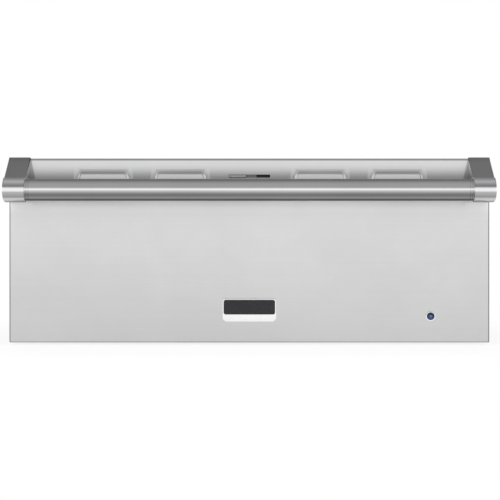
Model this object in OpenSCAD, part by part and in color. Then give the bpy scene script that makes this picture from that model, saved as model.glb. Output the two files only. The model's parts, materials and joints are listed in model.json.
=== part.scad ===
// Built-in warming drawer with a tube handle, louvred moisture vent and telescopic slides.
// Millimetres. The front faces -Y, +Z is up, and the origin is at the bottom centre of the whole
// drawer. Depths called "behind the face" are measured from the outer face of the front panel.

/* [Drawer front] */
// Width of the front panel
front_w = 673; // [660:1:760]
// Height of the front panel
front_h = 258; // [252:1:300]
// Depth of the front panel's folded rim
front_t = 25; // [22:1:32]
// Height of the front panel's lower edge above the floor
front_lift = 3; // [2:0.5:6]
// Sheet thickness of the front panel and of the panel behind it
skin_t = 1.2; // [0.8:0.1:1.5]

/* [Handle] */
// Diameter of the handle tube
tube_d = 30.5; // [24:0.5:34]
// Wall of the handle tube
tube_t = 2; // [1.5:0.25:3]
// Distance of the tube's axis in front of the panel
handle_reach = 47; // [42:1:60]
// Distance of the tube's axis below the panel's upper edge
handle_drop = 46; // [40:1:56]
// Width of each handle bracket
bracket_w = 30; // [24:1:36]
// Wall of the bracket around the tube
bracket_wall = 1.75; // [1.5:0.25:4]
// Height of the bracket's back above the panel's upper edge
bracket_rise = 1.75; // [0:0.25:3]
// Depth of the tube's seat in each bracket
tube_seat = 10; // [6:1:16]

/* [Louvres and moisture slide] */
// Width of a louvre at the panel
louvre_w = 72; // [60:1:84]
// Height of a louvre
louvre_h = 20; // [16:1:24]
// How far a louvre stands out of the panel
louvre_out = 5; // [4:0.25:6]
// Distance of the louvres' upper edge below the panel's upper edge
louvre_drop = 14.5; // [12:0.5:18]
// Centre of the inner louvres, from the middle
louvre_inner_x = 98; // [92:1:110]
// Centre of the outer louvres, from the middle
louvre_outer_x = 206; // [200:1:220]
// Width of the air window behind each louvre
window_w = 32; // [24:1:32]
// Length of the slot that the slide's tab moves in
slot_l = 58; // [50:1:64]
// Height of that slot
slot_h = 4; // [3:0.25:5]
// Width of the tab
tab_w = 24; // [18:1:24]
// How far the tab stands out of the panel
tab_out = 6; // [4:0.5:8]
// Travel of the moisture slide
vent_travel = 33; // [30:1:33]
// Thickness of the shutter and of its guide
vent_t = 1; // [0.8:0.1:1.2]

/* [Badge and lamp] */
// Width of the badge plate
badge_w = 75; // [60:1:90]
// Height of the badge plate
badge_h = 32; // [26:1:40]
// Height of the badge plate's centre above the panel's lower edge
badge_z = 45.5; // [40:0.5:60]
// Thickness of the badge plate
badge_t = 2; // [1.5:0.25:3]
// Diameter of the indicator lens
lens_d = 10; // [8:0.5:12]
// Distance of the lamp from the panel's right edge
lamp_inset = 82.5; // [60:0.5:136]
// Height of the lamp above the panel's lower edge
lamp_z = 37; // [32:1:60]

/* [Case] */
// Width of the case
case_w = 640; // [620:1:644]
// Height of the case, with its skids
case_h = 236; // [232:1:240]
// Depth of the case, from its front frame to its back cover
case_d = 565; // [540:1:600]
// Sheet thickness of the case
case_t = 1; // [0.8:0.1:1.2]
// Sheet thickness of the heated liner
liner_t = 1; // [0.8:0.1:1.2]
// Insulation room at each side of the liner
side_gap = 12; // [10:1:14]
// Insulation room above the liner
top_gap = 18; // [14:1:20]
// Insulation room below the liner
floor_gap = 15; // [12:1:18]
// Insulation room behind the liner
back_gap = 18; // [16:1:24]
// Height of the skids under the case
skid_h = 6; // [4:1:8]
// Width of each skid
skid_w = 34; // [24:1:44]
// Gap between the drawer front and the case's front frame
seal_gap = 3; // [2.5:0.25:4]
// Reach of the fixing flange beyond each side of the case
flange_w = 12; // [11:0.5:14]
// Diameter of the fixing holes
fix_d = 5; // [4:0.25:5.5]
// Height between the two fixing holes of a side
fix_pitch = 120; // [80:5:150]

/* [Drawer box] */
// Height of the drawer box
box_h = 142; // [130:1:148]
// Clear height between the liner's floor and the drawer box
box_lift = 25; // [22:1:28]
// Depth of the drawer box
box_d = 515; // [490:5:520]
// Sheet thickness of the drawer box
box_t = 1.2; // [0.8:0.1:1.5]
// Depth of the control ledge behind the drawer front
ledge_d = 50; // [46:1:60]
// Depth of the food pan's hollow, from its rim
pan_h = 134; // [110:1:134]
// Sheet thickness of the food pan
pan_t = 1.2; // [0.8:0.1:1.5]
// Corner radius of the food pan
pan_r = 26; // [10:1:50]

/* [Slides] */
// Travel of the drawer
drawer_travel = 480; // [400:10:480]
// How much longer than the travel each slide member is
slide_spare = 50; // [40:1:55]
// Height of a slide
slide_h = 45; // [43:1:50]
// Width of a closed slide
slide_w = 12.7; // [12.7:0.1:14]
// Sheet thickness of the slide members
slide_t = 1.2; // [1:0.1:1.3]
// Height of the slides' centre above the drawer box's bottom
slide_z = 62; // [40:1:90]
// Diameter of the bearing balls
ball_d = 4; // [3.6:0.1:4]
// Number of balls in each row
ball_n = 6; // [4:1:8]
// Distance between the balls of a row
ball_pitch = 30; // [20:1:32]

/* [Heater and controls] */
// Diameter of the heating rod
rod_d = 6.5; // [5:0.25:8]
// Distance between the runs of the heating rod
rod_pitch = 70; // [60:1:80]
// Height of the rod's centre above the liner's floor
rod_z = 13; // [10:1:14]
// Diameter of the control knob's skirt
knob_d = 38; // [32:1:42]
// Height of the control knob
knob_h = 15; // [12:0.5:18]
// Distance of the knob from the middle
knob_x = 200; // [150:1:240]
// Diameter of the thermostat bulb
bulb_d = 6; // [4:0.25:7]
// Length of the thermostat bulb
bulb_l = 90; // [60:5:120]
// Bore of the mains cord gland
gland_bore = 8.5; // [7:0.5:10]
// Depth of the terminal box behind the back cover
terminal_d = 22; // [20:1:30]

/* [Hidden] */
$fn = 48;

fit = 0.1;      // radial clearance of screws and rivets in their holes
seat = 0.3;     // clearance where a soft or loose piece meets its seat
through = 1;    // how far a cut runs past what it cuts

// Heights
front_top = front_lift + front_h;
floor_z = skid_h + case_t + floor_gap;            // underside of the liner's floor
liner_z = floor_z + liner_t;                      // upper side of the liner's floor
liner_top = case_h - case_t - top_gap - liner_t;  // underside of the liner's ceiling
box_z = liner_z + box_lift;
box_top = box_z + box_h;

// Depths behind the face
frame_y = front_t + seal_gap;
liner_y = frame_y + skin_t;
case_back = frame_y + case_d;
liner_back = case_back - case_t - back_gap;
box_y = front_t;
wall_y = box_y + ledge_d;                         // front face of the wall behind the ledge
slide_y = liner_y + 2;
slide_l = drawer_travel + slide_spare;

// Half widths
liner_x = case_w / 2 - case_t - side_gap - liner_t;
box_x = liner_x - slide_w;

nose_r = tube_d / 2 + bracket_wall;
tube_z = front_top - handle_drop;
terminal_t = 1;       // sheet thickness of the terminal box
depth_total = handle_reach + nose_r + case_back + terminal_d;
face_y = handle_reach + nose_r - depth_total / 2;

// Moves a piece drawn from the front panel's outer face to its place.
module behind_face() translate([0, face_y, 0]) children();
// Draws a piece and its mirror image at the other side.
module both_sides() {
    children();
    mirror([1, 0, 0]) children();
}
// A box from its lowest corner to its highest corner.
module block(low, high) translate(low) cube(high - low);
// A round bar along X, Y or Z from a point.
module bar_x(p, d, l) translate(p) rotate([0, 90, 0]) cylinder(d = d, h = l);
module bar_y(p, d, l) translate(p) rotate([-90, 0, 0]) cylinder(d = d, h = l);
module bar_z(p, d, l) translate(p) cylinder(d = d, h = l);

// A screw or rivet: its head's underside lies at p, and its shank runs on by l in direction turn.
to_right = [0, 90, 0];
to_left = [0, -90, 0];
to_front = [90, 0, 0];
to_top = [0, 0, 0];
to_bottom = [180, 0, 0];
module screw(p, turn, d, l, head_d, head_h) translate(p) rotate(turn) {
    translate([0, 0, -head_h]) cylinder(d = head_d, h = head_h);
    translate([0, 0, -head_h / 2]) cylinder(d = d, h = l + head_h / 2);
}

// Outline of a rectangle with round corners, about the origin.
corner_steps = 6;
function round_rect(w, h, r) = [
    for (corner = [0:3], step = [0:corner_steps])
        let (turn = corner * 90 + step * 90 / corner_steps,
             sx = (corner == 0 || corner == 3) ? 1 : -1,
             sy = corner < 2 ? 1 : -1)
            [sx * (w / 2 - r) + r * cos(turn), sy * (h / 2 - r) + r * sin(turn)]
];
// Numbers evenly spaced about zero.
function spread(n, pitch) = [for (i = [0:n - 1]) (i - (n - 1) / 2) * pitch];

// ---------------------------------------------------------------- drawer front

louvre_top = front_top - louvre_drop;
louvre_z = louvre_top - louvre_h;
louvre_crown = 7;     // height of a louvre's sloping upper face
louvre_end = 5;       // run of a louvre's sloping ends
louvre_xs = [-louvre_outer_x, -louvre_inner_x, louvre_inner_x, louvre_outer_x];
slot_z = louvre_z + louvre_h / 2;

// Hood of one louvre, w wide and standing out by out, down to the height low.
module louvre_hood(w, out, top, low, back) {
    intersection() {
        translate([-w / 2 - through, 0, 0]) rotate([90, 0, 90])
            linear_extrude(w + 2 * through)
                polygon([[back, low], [back, top], [0, top], [-out, top - louvre_crown], [-out, low]]);
        translate([0, 0, low]) linear_extrude(top - low)
            polygon([[-w / 2, back], [-w / 2, 0], [-w / 2 + louvre_end, -out],
                     [w / 2 - louvre_end, -out], [w / 2, 0], [w / 2, back]]);
    }
}

bracket_screw_d = 5;
bracket_screw_l = 18; // depth of the threaded hole in the bracket
bracket_head_d = 9;
bracket_head_h = 3;
bracket_screw_z = [tube_z - 6, tube_z + 26];
bracket_x = front_w / 2 - bracket_w / 2;
sheet_screw_d = 4;    // screws that join the sheet metal, and their heads
sheet_head_d = 7.5;
sheet_head_h = 1.6;
sheet_screw_l = 5;
module sheet_screw(p, turn) screw(p, turn, sheet_screw_d, sheet_screw_l, sheet_head_d, sheet_head_h);
rim_screw_xs = spread(4, front_w * 0.28);
rim_screw_y = front_t - 6;
badge_stud_d = 4;
badge_stud_l = 2.5;   // how far the studs stand out behind the panel
badge_stud_x = badge_w / 2 - 10;
badge_centre_z = front_lift + badge_z;
lens_body_d = lens_d - 2;
bezel_d = lens_d + 4;
lamp_x = front_w / 2 - lamp_inset;
lamp_centre_z = front_lift + lamp_z;

// Stainless front panel, folded back on all four sides, with its louvres.
module front_skin() behind_face() color("gainsboro") difference() {
    union() {
        difference() {
            block([-front_w / 2, 0, front_lift], [front_w / 2, front_t, front_top]);
            block([-front_w / 2 + skin_t, skin_t, front_lift + skin_t],
                  [front_w / 2 - skin_t, front_t + through, front_top - skin_t]);
        }
        for (x = louvre_xs) translate([x, 0, 0])
            louvre_hood(louvre_w, louvre_out, louvre_top, louvre_z, skin_t / 2);
    }
    for (x = louvre_xs) translate([x, 0, 0])
        louvre_hood(louvre_w - 2.5 * skin_t, louvre_out - skin_t, louvre_top - 1.5 * skin_t,
                    louvre_z - through, skin_t + through);
    block([-slot_l / 2, -through, slot_z - slot_h / 2],
          [slot_l / 2, skin_t + through, slot_z + slot_h / 2]);
    both_sides() for (z = bracket_screw_z)
        bar_y([bracket_x, -through, z], bracket_screw_d + 2 * fit, skin_t + 2 * through);
    both_sides()
        bar_y([badge_stud_x, -through, badge_centre_z], badge_stud_d + 2 * fit, skin_t + 2 * through);
    bar_y([lamp_x, -through, lamp_centre_z], lens_body_d + 2 * fit, skin_t + 2 * through);
    for (x = rim_screw_xs) bar_z([x, rim_screw_y, 0], sheet_screw_d + 2 * fit, front_top + through);
}

panel_fit = 0.3;      // clearance of the inner panel inside the front panel's rim
panel_x = front_w / 2 - skin_t - panel_fit;
panel_low = front_lift + skin_t + panel_fit;
panel_high = front_top - skin_t - panel_fit;
panel_fold = 12;      // depth of the inner panel's folded edge
inlet_w = 26;
inlet_h = 5;
inlet_z = (box_top + liner_top) / 2 + 2;
inlet_xs = spread(12, 2 * box_x / 13);
box_screw_xs = spread(4, box_x * 0.6);
box_screw_z = box_z + 8;

// Panel that closes the back of the drawer front, with the row of steam inlets.
module inner_panel() behind_face() color("silver") difference() {
    block([-panel_x, front_t - panel_fold, panel_low], [panel_x, front_t, panel_high]);
    block([-panel_x + skin_t, front_t - panel_fold - through, panel_low + skin_t],
          [panel_x - skin_t, front_t - skin_t, panel_high - skin_t]);
    for (x = inlet_xs)
        block([x - inlet_w / 2, 0, inlet_z - inlet_h / 2],
              [x + inlet_w / 2, front_t + through, inlet_z + inlet_h / 2]);
    for (x = rim_screw_xs) bar_z([x, rim_screw_y, 0], sheet_screw_d + 2 * fit, front_top + through);
    for (x = box_screw_xs)
        bar_y([x, 0, box_screw_z], sheet_screw_d + 2 * fit, front_t + through);
}

pad_x = panel_x - skin_t - seat;
pad_top = box_top - 4;
pad_y = 6;            // front face of the pad, clear of studs and nuts

// Insulating pad inside the drawer front.
module front_insulation() behind_face() color("khaki") difference() {
    block([-pad_x, pad_y, panel_low + skin_t + seat], [pad_x, front_t - skin_t - seat, pad_top]);
    block([lamp_x - bezel_d, 0, panel_low], [lamp_x + bezel_d, front_t, lamp_centre_z + bezel_d]);
    for (x = box_screw_xs)
        bar_y([x, 0, box_screw_z], sheet_screw_d + 8, front_t + through);
    for (x = rim_screw_xs)
        bar_z([x, rim_screw_y, front_lift], sheet_screw_d + 4, sheet_screw_l + 2);
}

seal_w = 8;
seal_out = 11;        // how far the gasket's outer edge lies outside the liner's opening

// Soft gasket round the back of the drawer front.
module door_seal() behind_face() color("dimgray") difference() {
    block([-liner_x - seal_out, front_t, liner_z - seal_out],
          [liner_x + seal_out, frame_y - seat, liner_top + seal_out]);
    block([-liner_x - seal_out + seal_w, front_t - through, liner_z - seal_out + seal_w],
          [liner_x + seal_out - seal_w, frame_y, liner_top + seal_out - seal_w]);
}

// Screws that close the drawer front at its upper and lower rims and hold it to the drawer box.
module drawer_screws() behind_face() color("silver") {
    for (x = rim_screw_xs) {
        sheet_screw([x, rim_screw_y, front_top], to_bottom);
        sheet_screw([x, rim_screw_y, front_lift], to_top);
    }
    for (x = box_screw_xs)
        sheet_screw([x, box_y + box_t, box_screw_z], to_front);
}

// ---------------------------------------------------------------------- handle

spigot_d = tube_d - 2 * tube_t - 2 * fit;
nose_turn = 10;       // how far behind its top the sloping face meets the round nose, in degrees
under_step = 0.4;     // how far the flat underside lies above the round nose's lowest line
set_screw_d = 4;
set_screw_l = 8;

// Cast bracket at the right end: a sloping back, and a round nose that holds the tube.
module handle_bracket() {
    outline = [
        [0, handle_drop + bracket_rise],
        [nose_r * sin(nose_turn) - handle_reach, nose_r * cos(nose_turn)],
        [-handle_reach, 0],
        [nose_r * 0.25 - handle_reach, under_step - nose_r],
        [0, under_step - nose_r]
    ];
    difference() {
        union() {
            translate([front_w / 2 - bracket_w, 0, tube_z]) rotate([90, 0, 90])
                linear_extrude(bracket_w) polygon(outline);
            bar_x([front_w / 2 - bracket_w, -handle_reach, tube_z], 2 * nose_r, bracket_w);
        }
        difference() {
            bar_x([front_w / 2 - bracket_w - through, -handle_reach, tube_z],
                  tube_d + 2 * fit, tube_seat + through);
            bar_x([front_w / 2 - bracket_w - 2 * through, -handle_reach, tube_z],
                  spigot_d, tube_seat + 4 * through);
        }
        for (z = bracket_screw_z)
            bar_y([bracket_x, -bracket_screw_l, z], bracket_screw_d + 2 * fit, bracket_screw_l + through);
        bar_z([front_w / 2 - bracket_w + tube_seat / 2, -handle_reach, tube_z - nose_r - through],
              set_screw_d + 2 * fit, set_screw_l + through);
    }
}
module handle_bracket_right() behind_face() color("lightgray") handle_bracket();
module handle_bracket_left() behind_face() color("lightgray") mirror([1, 0, 0]) handle_bracket();

tube_half = front_w / 2 - bracket_w + tube_seat - seat;

// Brushed steel tube between the brackets.
module handle_tube() behind_face() color("darkgray") difference() {
    bar_x([-tube_half, -handle_reach, tube_z], tube_d, 2 * tube_half);
    bar_x([-tube_half - through, -handle_reach, tube_z], tube_d - 2 * tube_t, 2 * tube_half + 2 * through);
    both_sides() bar_z([front_w / 2 - bracket_w + tube_seat / 2, -handle_reach, tube_z - nose_r],
                       set_screw_d + 2 * fit, nose_r);
}

// Screws from inside the front panel into the brackets.
module handle_screws() behind_face() color("silver") both_sides() for (z = bracket_screw_z)
    screw([bracket_x, skin_t, z], to_front, bracket_screw_d, skin_t + bracket_screw_l - 2,
          bracket_head_d, bracket_head_h);

// Grub screws under the brackets that lock the tube.
module handle_set_screws() behind_face() color("dimgray") both_sides()
    bar_z([front_w / 2 - bracket_w + tube_seat / 2, -handle_reach, tube_z - nose_r + seat],
          set_screw_d, set_screw_l - 2 * seat);

// -------------------------------------------------------------- badge and lamp

inlay_w = badge_w - 3;
inlay_h = badge_h * 0.64;
inlay_z = badge_centre_z + badge_h / 2 - 1.5 - inlay_h / 2;
inlay_t = 0.8;        // depth of the enamel field in the badge plate
badge_r = 5;
inlay_r = 3;

// Plain plated badge with a recess for its dark field, and two studs through the panel.
module badge_plate() behind_face() color("whitesmoke") {
    difference() {
        translate([0, 0, badge_centre_z]) rotate([90, 0, 0])
            linear_extrude(badge_t) polygon(round_rect(badge_w, badge_h, badge_r));
        translate([0, -badge_t + inlay_t, inlay_z]) rotate([90, 0, 0])
            linear_extrude(badge_t) polygon(round_rect(inlay_w, inlay_h, inlay_r));
    }
    both_sides() bar_y([badge_stud_x, -0.5, badge_centre_z], badge_stud_d, 0.5 + skin_t + badge_stud_l);
}
// Bare dark enamel field of the badge.
module badge_inlay() behind_face() color("black")
    translate([0, -badge_t + inlay_t, inlay_z]) rotate([90, 0, 0])
        linear_extrude(inlay_t - 0.2) polygon(round_rect(inlay_w - 2 * fit, inlay_h - 2 * fit, inlay_r));

bezel_out = 1.5;
// Polished ring round the lamp's lens.
module indicator_bezel() behind_face() color("white") difference() {
    bar_y([lamp_x, -bezel_out, lamp_centre_z], bezel_d, bezel_out);
    bar_y([lamp_x, -bezel_out - through, lamp_centre_z], lens_d + 2 * fit, bezel_out + 2 * through);
}
lens_shank = 4;       // how far the lens's shank stands out behind the panel
// Blue lens with a shank through the panel.
module indicator_lens() behind_face() color("navy") {
    intersection() {
        bar_y([lamp_x, -lens_d, lamp_centre_z], lens_d, lens_d);
        translate([lamp_x, lens_d - bezel_out - 1, lamp_centre_z]) sphere(r = lens_d);
    }
    bar_y([lamp_x, -0.5, lamp_centre_z], lens_body_d, 0.5 + skin_t + lens_shank);
}
holder_l = 14;
// A flat spade terminal that stands out to the back from a point.
spade_t = 0.8;
module spade(p, w, l) block([p[0] - w / 2, p[1] - 1, p[2] - spade_t / 2],
                            [p[0] + w / 2, p[1] + l, p[2] + spade_t / 2]);
// Lamp holder pushed on the lens, with two spade terminals.
module indicator_lamp() behind_face() color("ivory") {
    difference() {
        bar_y([lamp_x, skin_t, lamp_centre_z], bezel_d, holder_l);
        bar_y([lamp_x, skin_t - through, lamp_centre_z], lens_body_d + 2 * fit,
              lens_shank + through + seat);
    }
    for (x = spread(2, 5)) spade([lamp_x + x, skin_t + holder_l, lamp_centre_z], 2.8, 5);
}

// -------------------------------------------------------------- moisture slide

vent_gap = 0.4;                       // running clearance at each side of the shutter
shutter_y = skin_t + vent_gap;
guide_y = shutter_y + vent_t + vent_gap;
guide_low = louvre_z - 3;
guide_high = louvre_top + 2;
guide_x = louvre_outer_x + louvre_w / 2 + vent_travel;
shutter_x = louvre_outer_x + window_w / 2 + 8;
shutter_low = guide_low + vent_t + vent_gap;
shutter_high = guide_high - vent_t - vent_gap;
window_low = louvre_z + 1.5;
window_high = louvre_top - louvre_crown - 1.5;
tab_left = -slot_l / 2 + 0.5;         // the tab rests at the slot's left end, with the vents open
plate_w = 14.5;                       // width of shutter that shows beside the tab
tab_rivet_d = 2;
tab_rivet_l = 2.5;
tab_rivet_head_d = 3.4;
bay_x = tab_left + tab_w + vent_travel;
guide_rivet_d = 3;
guide_rivet_head_d = 5.5;
guide_rivet_xs = spread(6, 2 * (guide_x - 6) / 5);
ear = 7;                              // height of the guide's riveted edges

// Channel behind the louvres that guides the shutter; its windows lie behind the louvres.
module vent_guide() behind_face() color("silver") difference() {
    union() {
        difference() {
            block([-guide_x, skin_t, guide_low], [guide_x, guide_y + vent_t, guide_high]);
            block([-guide_x - through, skin_t - through, guide_low + vent_t],
                  [guide_x + through, guide_y, guide_high - vent_t]);
        }
        block([-guide_x, skin_t, guide_low - ear], [guide_x, skin_t + vent_t, guide_low]);
    }
    for (x = louvre_xs)
        block([x - window_w / 2, guide_y - through, window_low],
              [x + window_w / 2, guide_y + vent_t + through, window_high]);
    block([tab_left - 4, guide_y - through, slot_z - slot_h],
          [bay_x + 4, guide_y + vent_t + through, slot_z + slot_h]);
    for (x = guide_rivet_xs)
        bar_y([x, 0, guide_low - ear / 2], guide_rivet_d + 2 * fit, guide_y);
}
// Blind rivets that hold the guide's lower edge to the panel.
module vent_guide_rivets() behind_face() color("silver") for (x = guide_rivet_xs)
    screw([x, skin_t + vent_t, guide_low - ear / 2], to_front, guide_rivet_d, vent_t, guide_rivet_head_d, 1);

// Sliding shutter: its windows meet the guide's when the tab is at the left.
module vent_shutter() behind_face() color("lightgray") difference() {
    block([-shutter_x, shutter_y, shutter_low], [shutter_x, shutter_y + vent_t, shutter_high]);
    for (x = louvre_xs)
        block([x - window_w / 2, 0, window_low], [x + window_w / 2, guide_y, window_high]);
    block([tab_left + tab_w + plate_w, 0, slot_z - slot_h],
          [slot_l / 2 + vent_travel, guide_y, slot_z + slot_h]);
    for (x = spread(2, tab_w / 2))
        bar_y([tab_left + tab_w / 2 + x, 0, slot_z], tab_rivet_d + 2 * fit, guide_y);
}
// Tab that the hand moves, through the slot in the panel.
module vent_tab() behind_face() color("whitesmoke") difference() {
    block([tab_left, -tab_out, slot_z - slot_h / 2 + seat],
          [tab_left + tab_w, shutter_y, slot_z + slot_h / 2 - seat]);
    for (x = spread(2, tab_w / 2))
        bar_y([tab_left + tab_w / 2 + x, shutter_y - tab_rivet_l - seat, slot_z],
              tab_rivet_d + 2 * fit, tab_rivet_l + through);
}
// Rivets that hold the tab to the shutter.
module vent_tab_rivets() behind_face() color("silver") for (x = spread(2, tab_w / 2))
    screw([tab_left + tab_w / 2 + x, shutter_y + vent_t, slot_z], to_front,
          tab_rivet_d, vent_t + tab_rivet_l, tab_rivet_head_d, 0.8);

// ------------------------------------------------------------------ drawer box

box_back = box_y + box_d;
slide_mid = box_z + slide_z;
rivet_d = 4;
rivet_head_d = 8;
rivet_head_h = 1.2;
rivet_front = 20;     // first rivet behind a slide's front end, and last one before its rear end
rivet_rear = 50;
rivet_ys = [for (i = [0:2]) slide_y + rivet_front + i * (slide_l - rivet_front - rivet_rear) / 2];
heat_hole_d = 40;     // heat holes in the drawer box's floor, across and along
heat_hole_n = [9, 7];
heat_mid = (wall_y + box_back) / 2;
heat_pitch = 60;

// Folded steel box that carries the pan, with heat holes in its floor.
module drawer_box() behind_face() color("lightsteelblue") difference() {
    block([-box_x, box_y, box_z], [box_x, box_back, box_top]);
    block([-box_x + box_t, wall_y + box_t, box_z + box_t],
          [box_x - box_t, box_back - box_t, box_top + through]);
    block([-box_x + box_t, box_y + box_t, box_z + box_t], [box_x - box_t, wall_y, box_top + through]);
    for (x = spread(heat_hole_n[0], heat_pitch), y = spread(heat_hole_n[1], heat_pitch))
        bar_z([x, heat_mid + y, box_z - through], heat_hole_d, box_t + 2 * through);
    both_sides() for (y = rivet_ys) bar_x([box_x - 2 * box_t, y, slide_mid], rivet_d + 2 * fit, 4 * box_t);
    for (x = box_screw_xs)
        bar_y([x, box_y - through, box_screw_z], sheet_screw_d + 2 * fit, box_t + 2 * through);
    bar_y([grommet_x, box_back - 2 * box_t, grommet_z], grommet_d, 4 * box_t);
    bar_y([capillary_x, wall_y - through, bulb_z], capillary_d + 1, box_t + 2 * through);
}

pan_gap = 4;                          // clearance between the pan's wall and the box's wall
rim_out = 4;                          // how far the pan's rim reaches past the box
ledge_fit = 0.2;
pan_x = box_x - box_t - pan_gap;
pan_front = wall_y + box_t + bulb_d + 5;
pan_back = box_back - box_t - pan_gap - 1;
rim_x = box_x + rim_out;
rim_front = wall_y + ledge_fit + seat;
rim_back = box_back + rim_out;
pan_mid = (pan_front + pan_back) / 2;
rim_mid = (rim_front + rim_back) / 2;

// Drawn food pan that hangs by its rim on the drawer box.
module food_pan() behind_face() color("silver") difference() {
    union() {
        translate([0, pan_mid, box_top - pan_h + pan_t])
            linear_extrude(pan_h) polygon(round_rect(2 * pan_x, pan_back - pan_front, pan_r));
        translate([0, rim_mid, box_top])
            linear_extrude(pan_t) polygon(round_rect(2 * rim_x, rim_back - rim_front, 8));
    }
    translate([0, pan_mid, box_top - pan_h + 2 * pan_t])
        linear_extrude(pan_h + through)
            polygon(round_rect(2 * (pan_x - pan_t), pan_back - pan_front - 2 * pan_t, pan_r - pan_t));
}

ledge_t = 1.2;
ledge_lip = 14;       // height of the ledge's front lip
knob_y = box_y + ledge_d / 2;
bush_d = 9;           // threaded bush of the thermostat

// Plate behind the drawer front that carries the control knob.
module control_ledge() behind_face() color("gainsboro") difference() {
    union() {
        block([-box_x, box_y + ledge_fit, box_top], [box_x, wall_y + ledge_fit, box_top + ledge_t]);
        block([-box_x + box_t + seat, box_y + box_t + seat, box_top - ledge_lip],
              [box_x - box_t - seat, box_y + box_t + seat + ledge_t, box_top + ledge_t / 2]);
    }
    bar_z([knob_x, knob_y, box_top - through], bush_d + 2 * fit, ledge_t + 2 * through);
}

thermo_w = 38;
thermo_d = 32;
thermo_h = 26;
bush_out = 4;         // how far the threaded bush stands out above the ledge
// Capillary thermostat under the ledge, with its threaded bush.
module thermostat() behind_face() color("lightgray") difference() {
    union() {
        block([knob_x - thermo_w / 2, knob_y - thermo_d / 2, box_top - thermo_h],
              [knob_x + thermo_w / 2, knob_y + thermo_d / 2, box_top]);
        bar_z([knob_x, knob_y, box_top - through], bush_d, ledge_t + bush_out + through);
    }
    bar_z([knob_x, knob_y, box_top - shaft_in - seat], shaft_d + 2 * fit, 2 * shaft_in);
}
nut_d = 16;           // across the nut's corners
nut_h = 2.6;
// Nut that clamps the thermostat to the ledge.
module thermostat_nut() behind_face() color("silver") difference() {
    translate([knob_x, knob_y, box_top + ledge_t]) cylinder(d = nut_d, h = nut_h, $fn = 6);
    bar_z([knob_x, knob_y, box_top], bush_d + 2 * fit, ledge_t + nut_h + through);
}
shaft_d = 6;
shaft_in = 9.5;       // how far the shaft reaches into the thermostat
knob_z = box_top + ledge_t + 2 * seat;
shaft_top = knob_z + knob_h - 3;
flat_z = knob_z + 5.5;
// Control shaft, with the flat that drives the knob.
module thermostat_shaft() behind_face() color("silver") difference() {
    bar_z([knob_x, knob_y, box_top - shaft_in], shaft_d, shaft_top - box_top + shaft_in);
    block([knob_x - shaft_d, knob_y + shaft_d / 4, flat_z],
          [knob_x + shaft_d, knob_y + shaft_d, shaft_top + through]);
}
grip_d = knob_d - 10.6;
ridge_w = 3;
skirt_h = 3;
knob_hollow = 6;      // depth of the hollow over the nut
// Round knob with a skirt, a hollow underside and a pointer ridge.
module control_knob() behind_face() color("dimgray") difference() {
    union() {
        bar_z([knob_x, knob_y, knob_z], knob_d, skirt_h);
        bar_z([knob_x, knob_y, knob_z + skirt_h - 1], grip_d, knob_h - skirt_h + 1);
        block([knob_x - ridge_w / 2, knob_y - knob_d / 2 + 1, knob_z + skirt_h - 1],
              [knob_x + ridge_w / 2, knob_y, knob_z + knob_h + 0.5]);
    }
    bar_z([knob_x, knob_y, knob_z - through], grip_d - 6, knob_hollow + through);
    difference() {
        bar_z([knob_x, knob_y, knob_z + 4], shaft_d + 2 * fit, shaft_top + fit - knob_z - 4);
        block([knob_x - shaft_d, knob_y + shaft_d / 4 + fit, flat_z],
              [knob_x + shaft_d, knob_y + shaft_d, shaft_top + through]);
    }
}

capillary_d = 1.6;
capillary_run = 12;   // how far the capillary goes on from the bulb before it turns
bulb_x = 60;
bulb_y = wall_y + box_t + bulb_d;
bulb_rise = 30;       // height of the bulb above the box's bottom
bulb_z = box_z + bulb_rise;
capillary_x = bulb_x - capillary_run;
capillary_z = box_top - thermo_h / 2;
// Thermostat bulb in front of the pan, with its capillary through the wall to the thermostat.
module thermostat_bulb() behind_face() color("peru") {
    bar_x([bulb_x, bulb_y, bulb_z], bulb_d, bulb_l);
    bar_x([capillary_x, bulb_y, bulb_z], capillary_d, capillary_run + through);
    bar_y([capillary_x, knob_y, bulb_z], capillary_d, bulb_y - knob_y);
    bar_z([capillary_x, knob_y, bulb_z], capillary_d, capillary_z - bulb_z);
    bar_x([capillary_x, knob_y, capillary_z], capillary_d, knob_x - thermo_w / 2 - capillary_x);
    for (bend = [[bulb_y, bulb_z], [knob_y, bulb_z], [knob_y, capillary_z]])
        translate([capillary_x, bend[0], bend[1]]) sphere(d = capillary_d);
}
clip_w = 8;
// Two clips that hold the bulb to the wall.
module bulb_clips() behind_face() color("silver") for (x = spread(2, bulb_l - 4 * clip_w)) difference() {
    block([bulb_x + bulb_l / 2 + x - clip_w / 2, wall_y + box_t, bulb_z - bulb_d / 2 - 2],
          [bulb_x + bulb_l / 2 + x + clip_w / 2, bulb_y + bulb_d / 2 + 1, bulb_z + bulb_d / 2 + 2]);
    bar_x([bulb_x, bulb_y, bulb_z], bulb_d + 2 * fit, bulb_l);
}

grommet_x = -200;
grommet_rise = 90;    // height of the grommets above the box's bottom
grommet_z = box_z + grommet_rise;
grommet_d = 16;
grommet_bore = 9;
grommet_lip = 2.4;
// Rubber ring in a sheet: y is the sheet's front face and t its thickness.
module grommet(y, t) difference() {
    union() {
        bar_y([grommet_x, y - fit - grommet_lip, grommet_z], grommet_d + 6, grommet_lip);
        bar_y([grommet_x, y - grommet_lip, grommet_z], grommet_d - 2 * fit, t + 2 * grommet_lip);
        bar_y([grommet_x, y + t + fit, grommet_z], grommet_d + 6, grommet_lip);
    }
    bar_y([grommet_x, y - 2 * grommet_lip, grommet_z], grommet_bore, t + 4 * grommet_lip);
}
// Grommets that the lead between case and drawer passes through.
module drawer_grommet() behind_face() color("black") grommet(box_back - box_t, box_t);
module liner_grommet() behind_face() color("black") grommet(liner_back - liner_t, liner_t);

// ---------------------------------------------------------------------- slides

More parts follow.
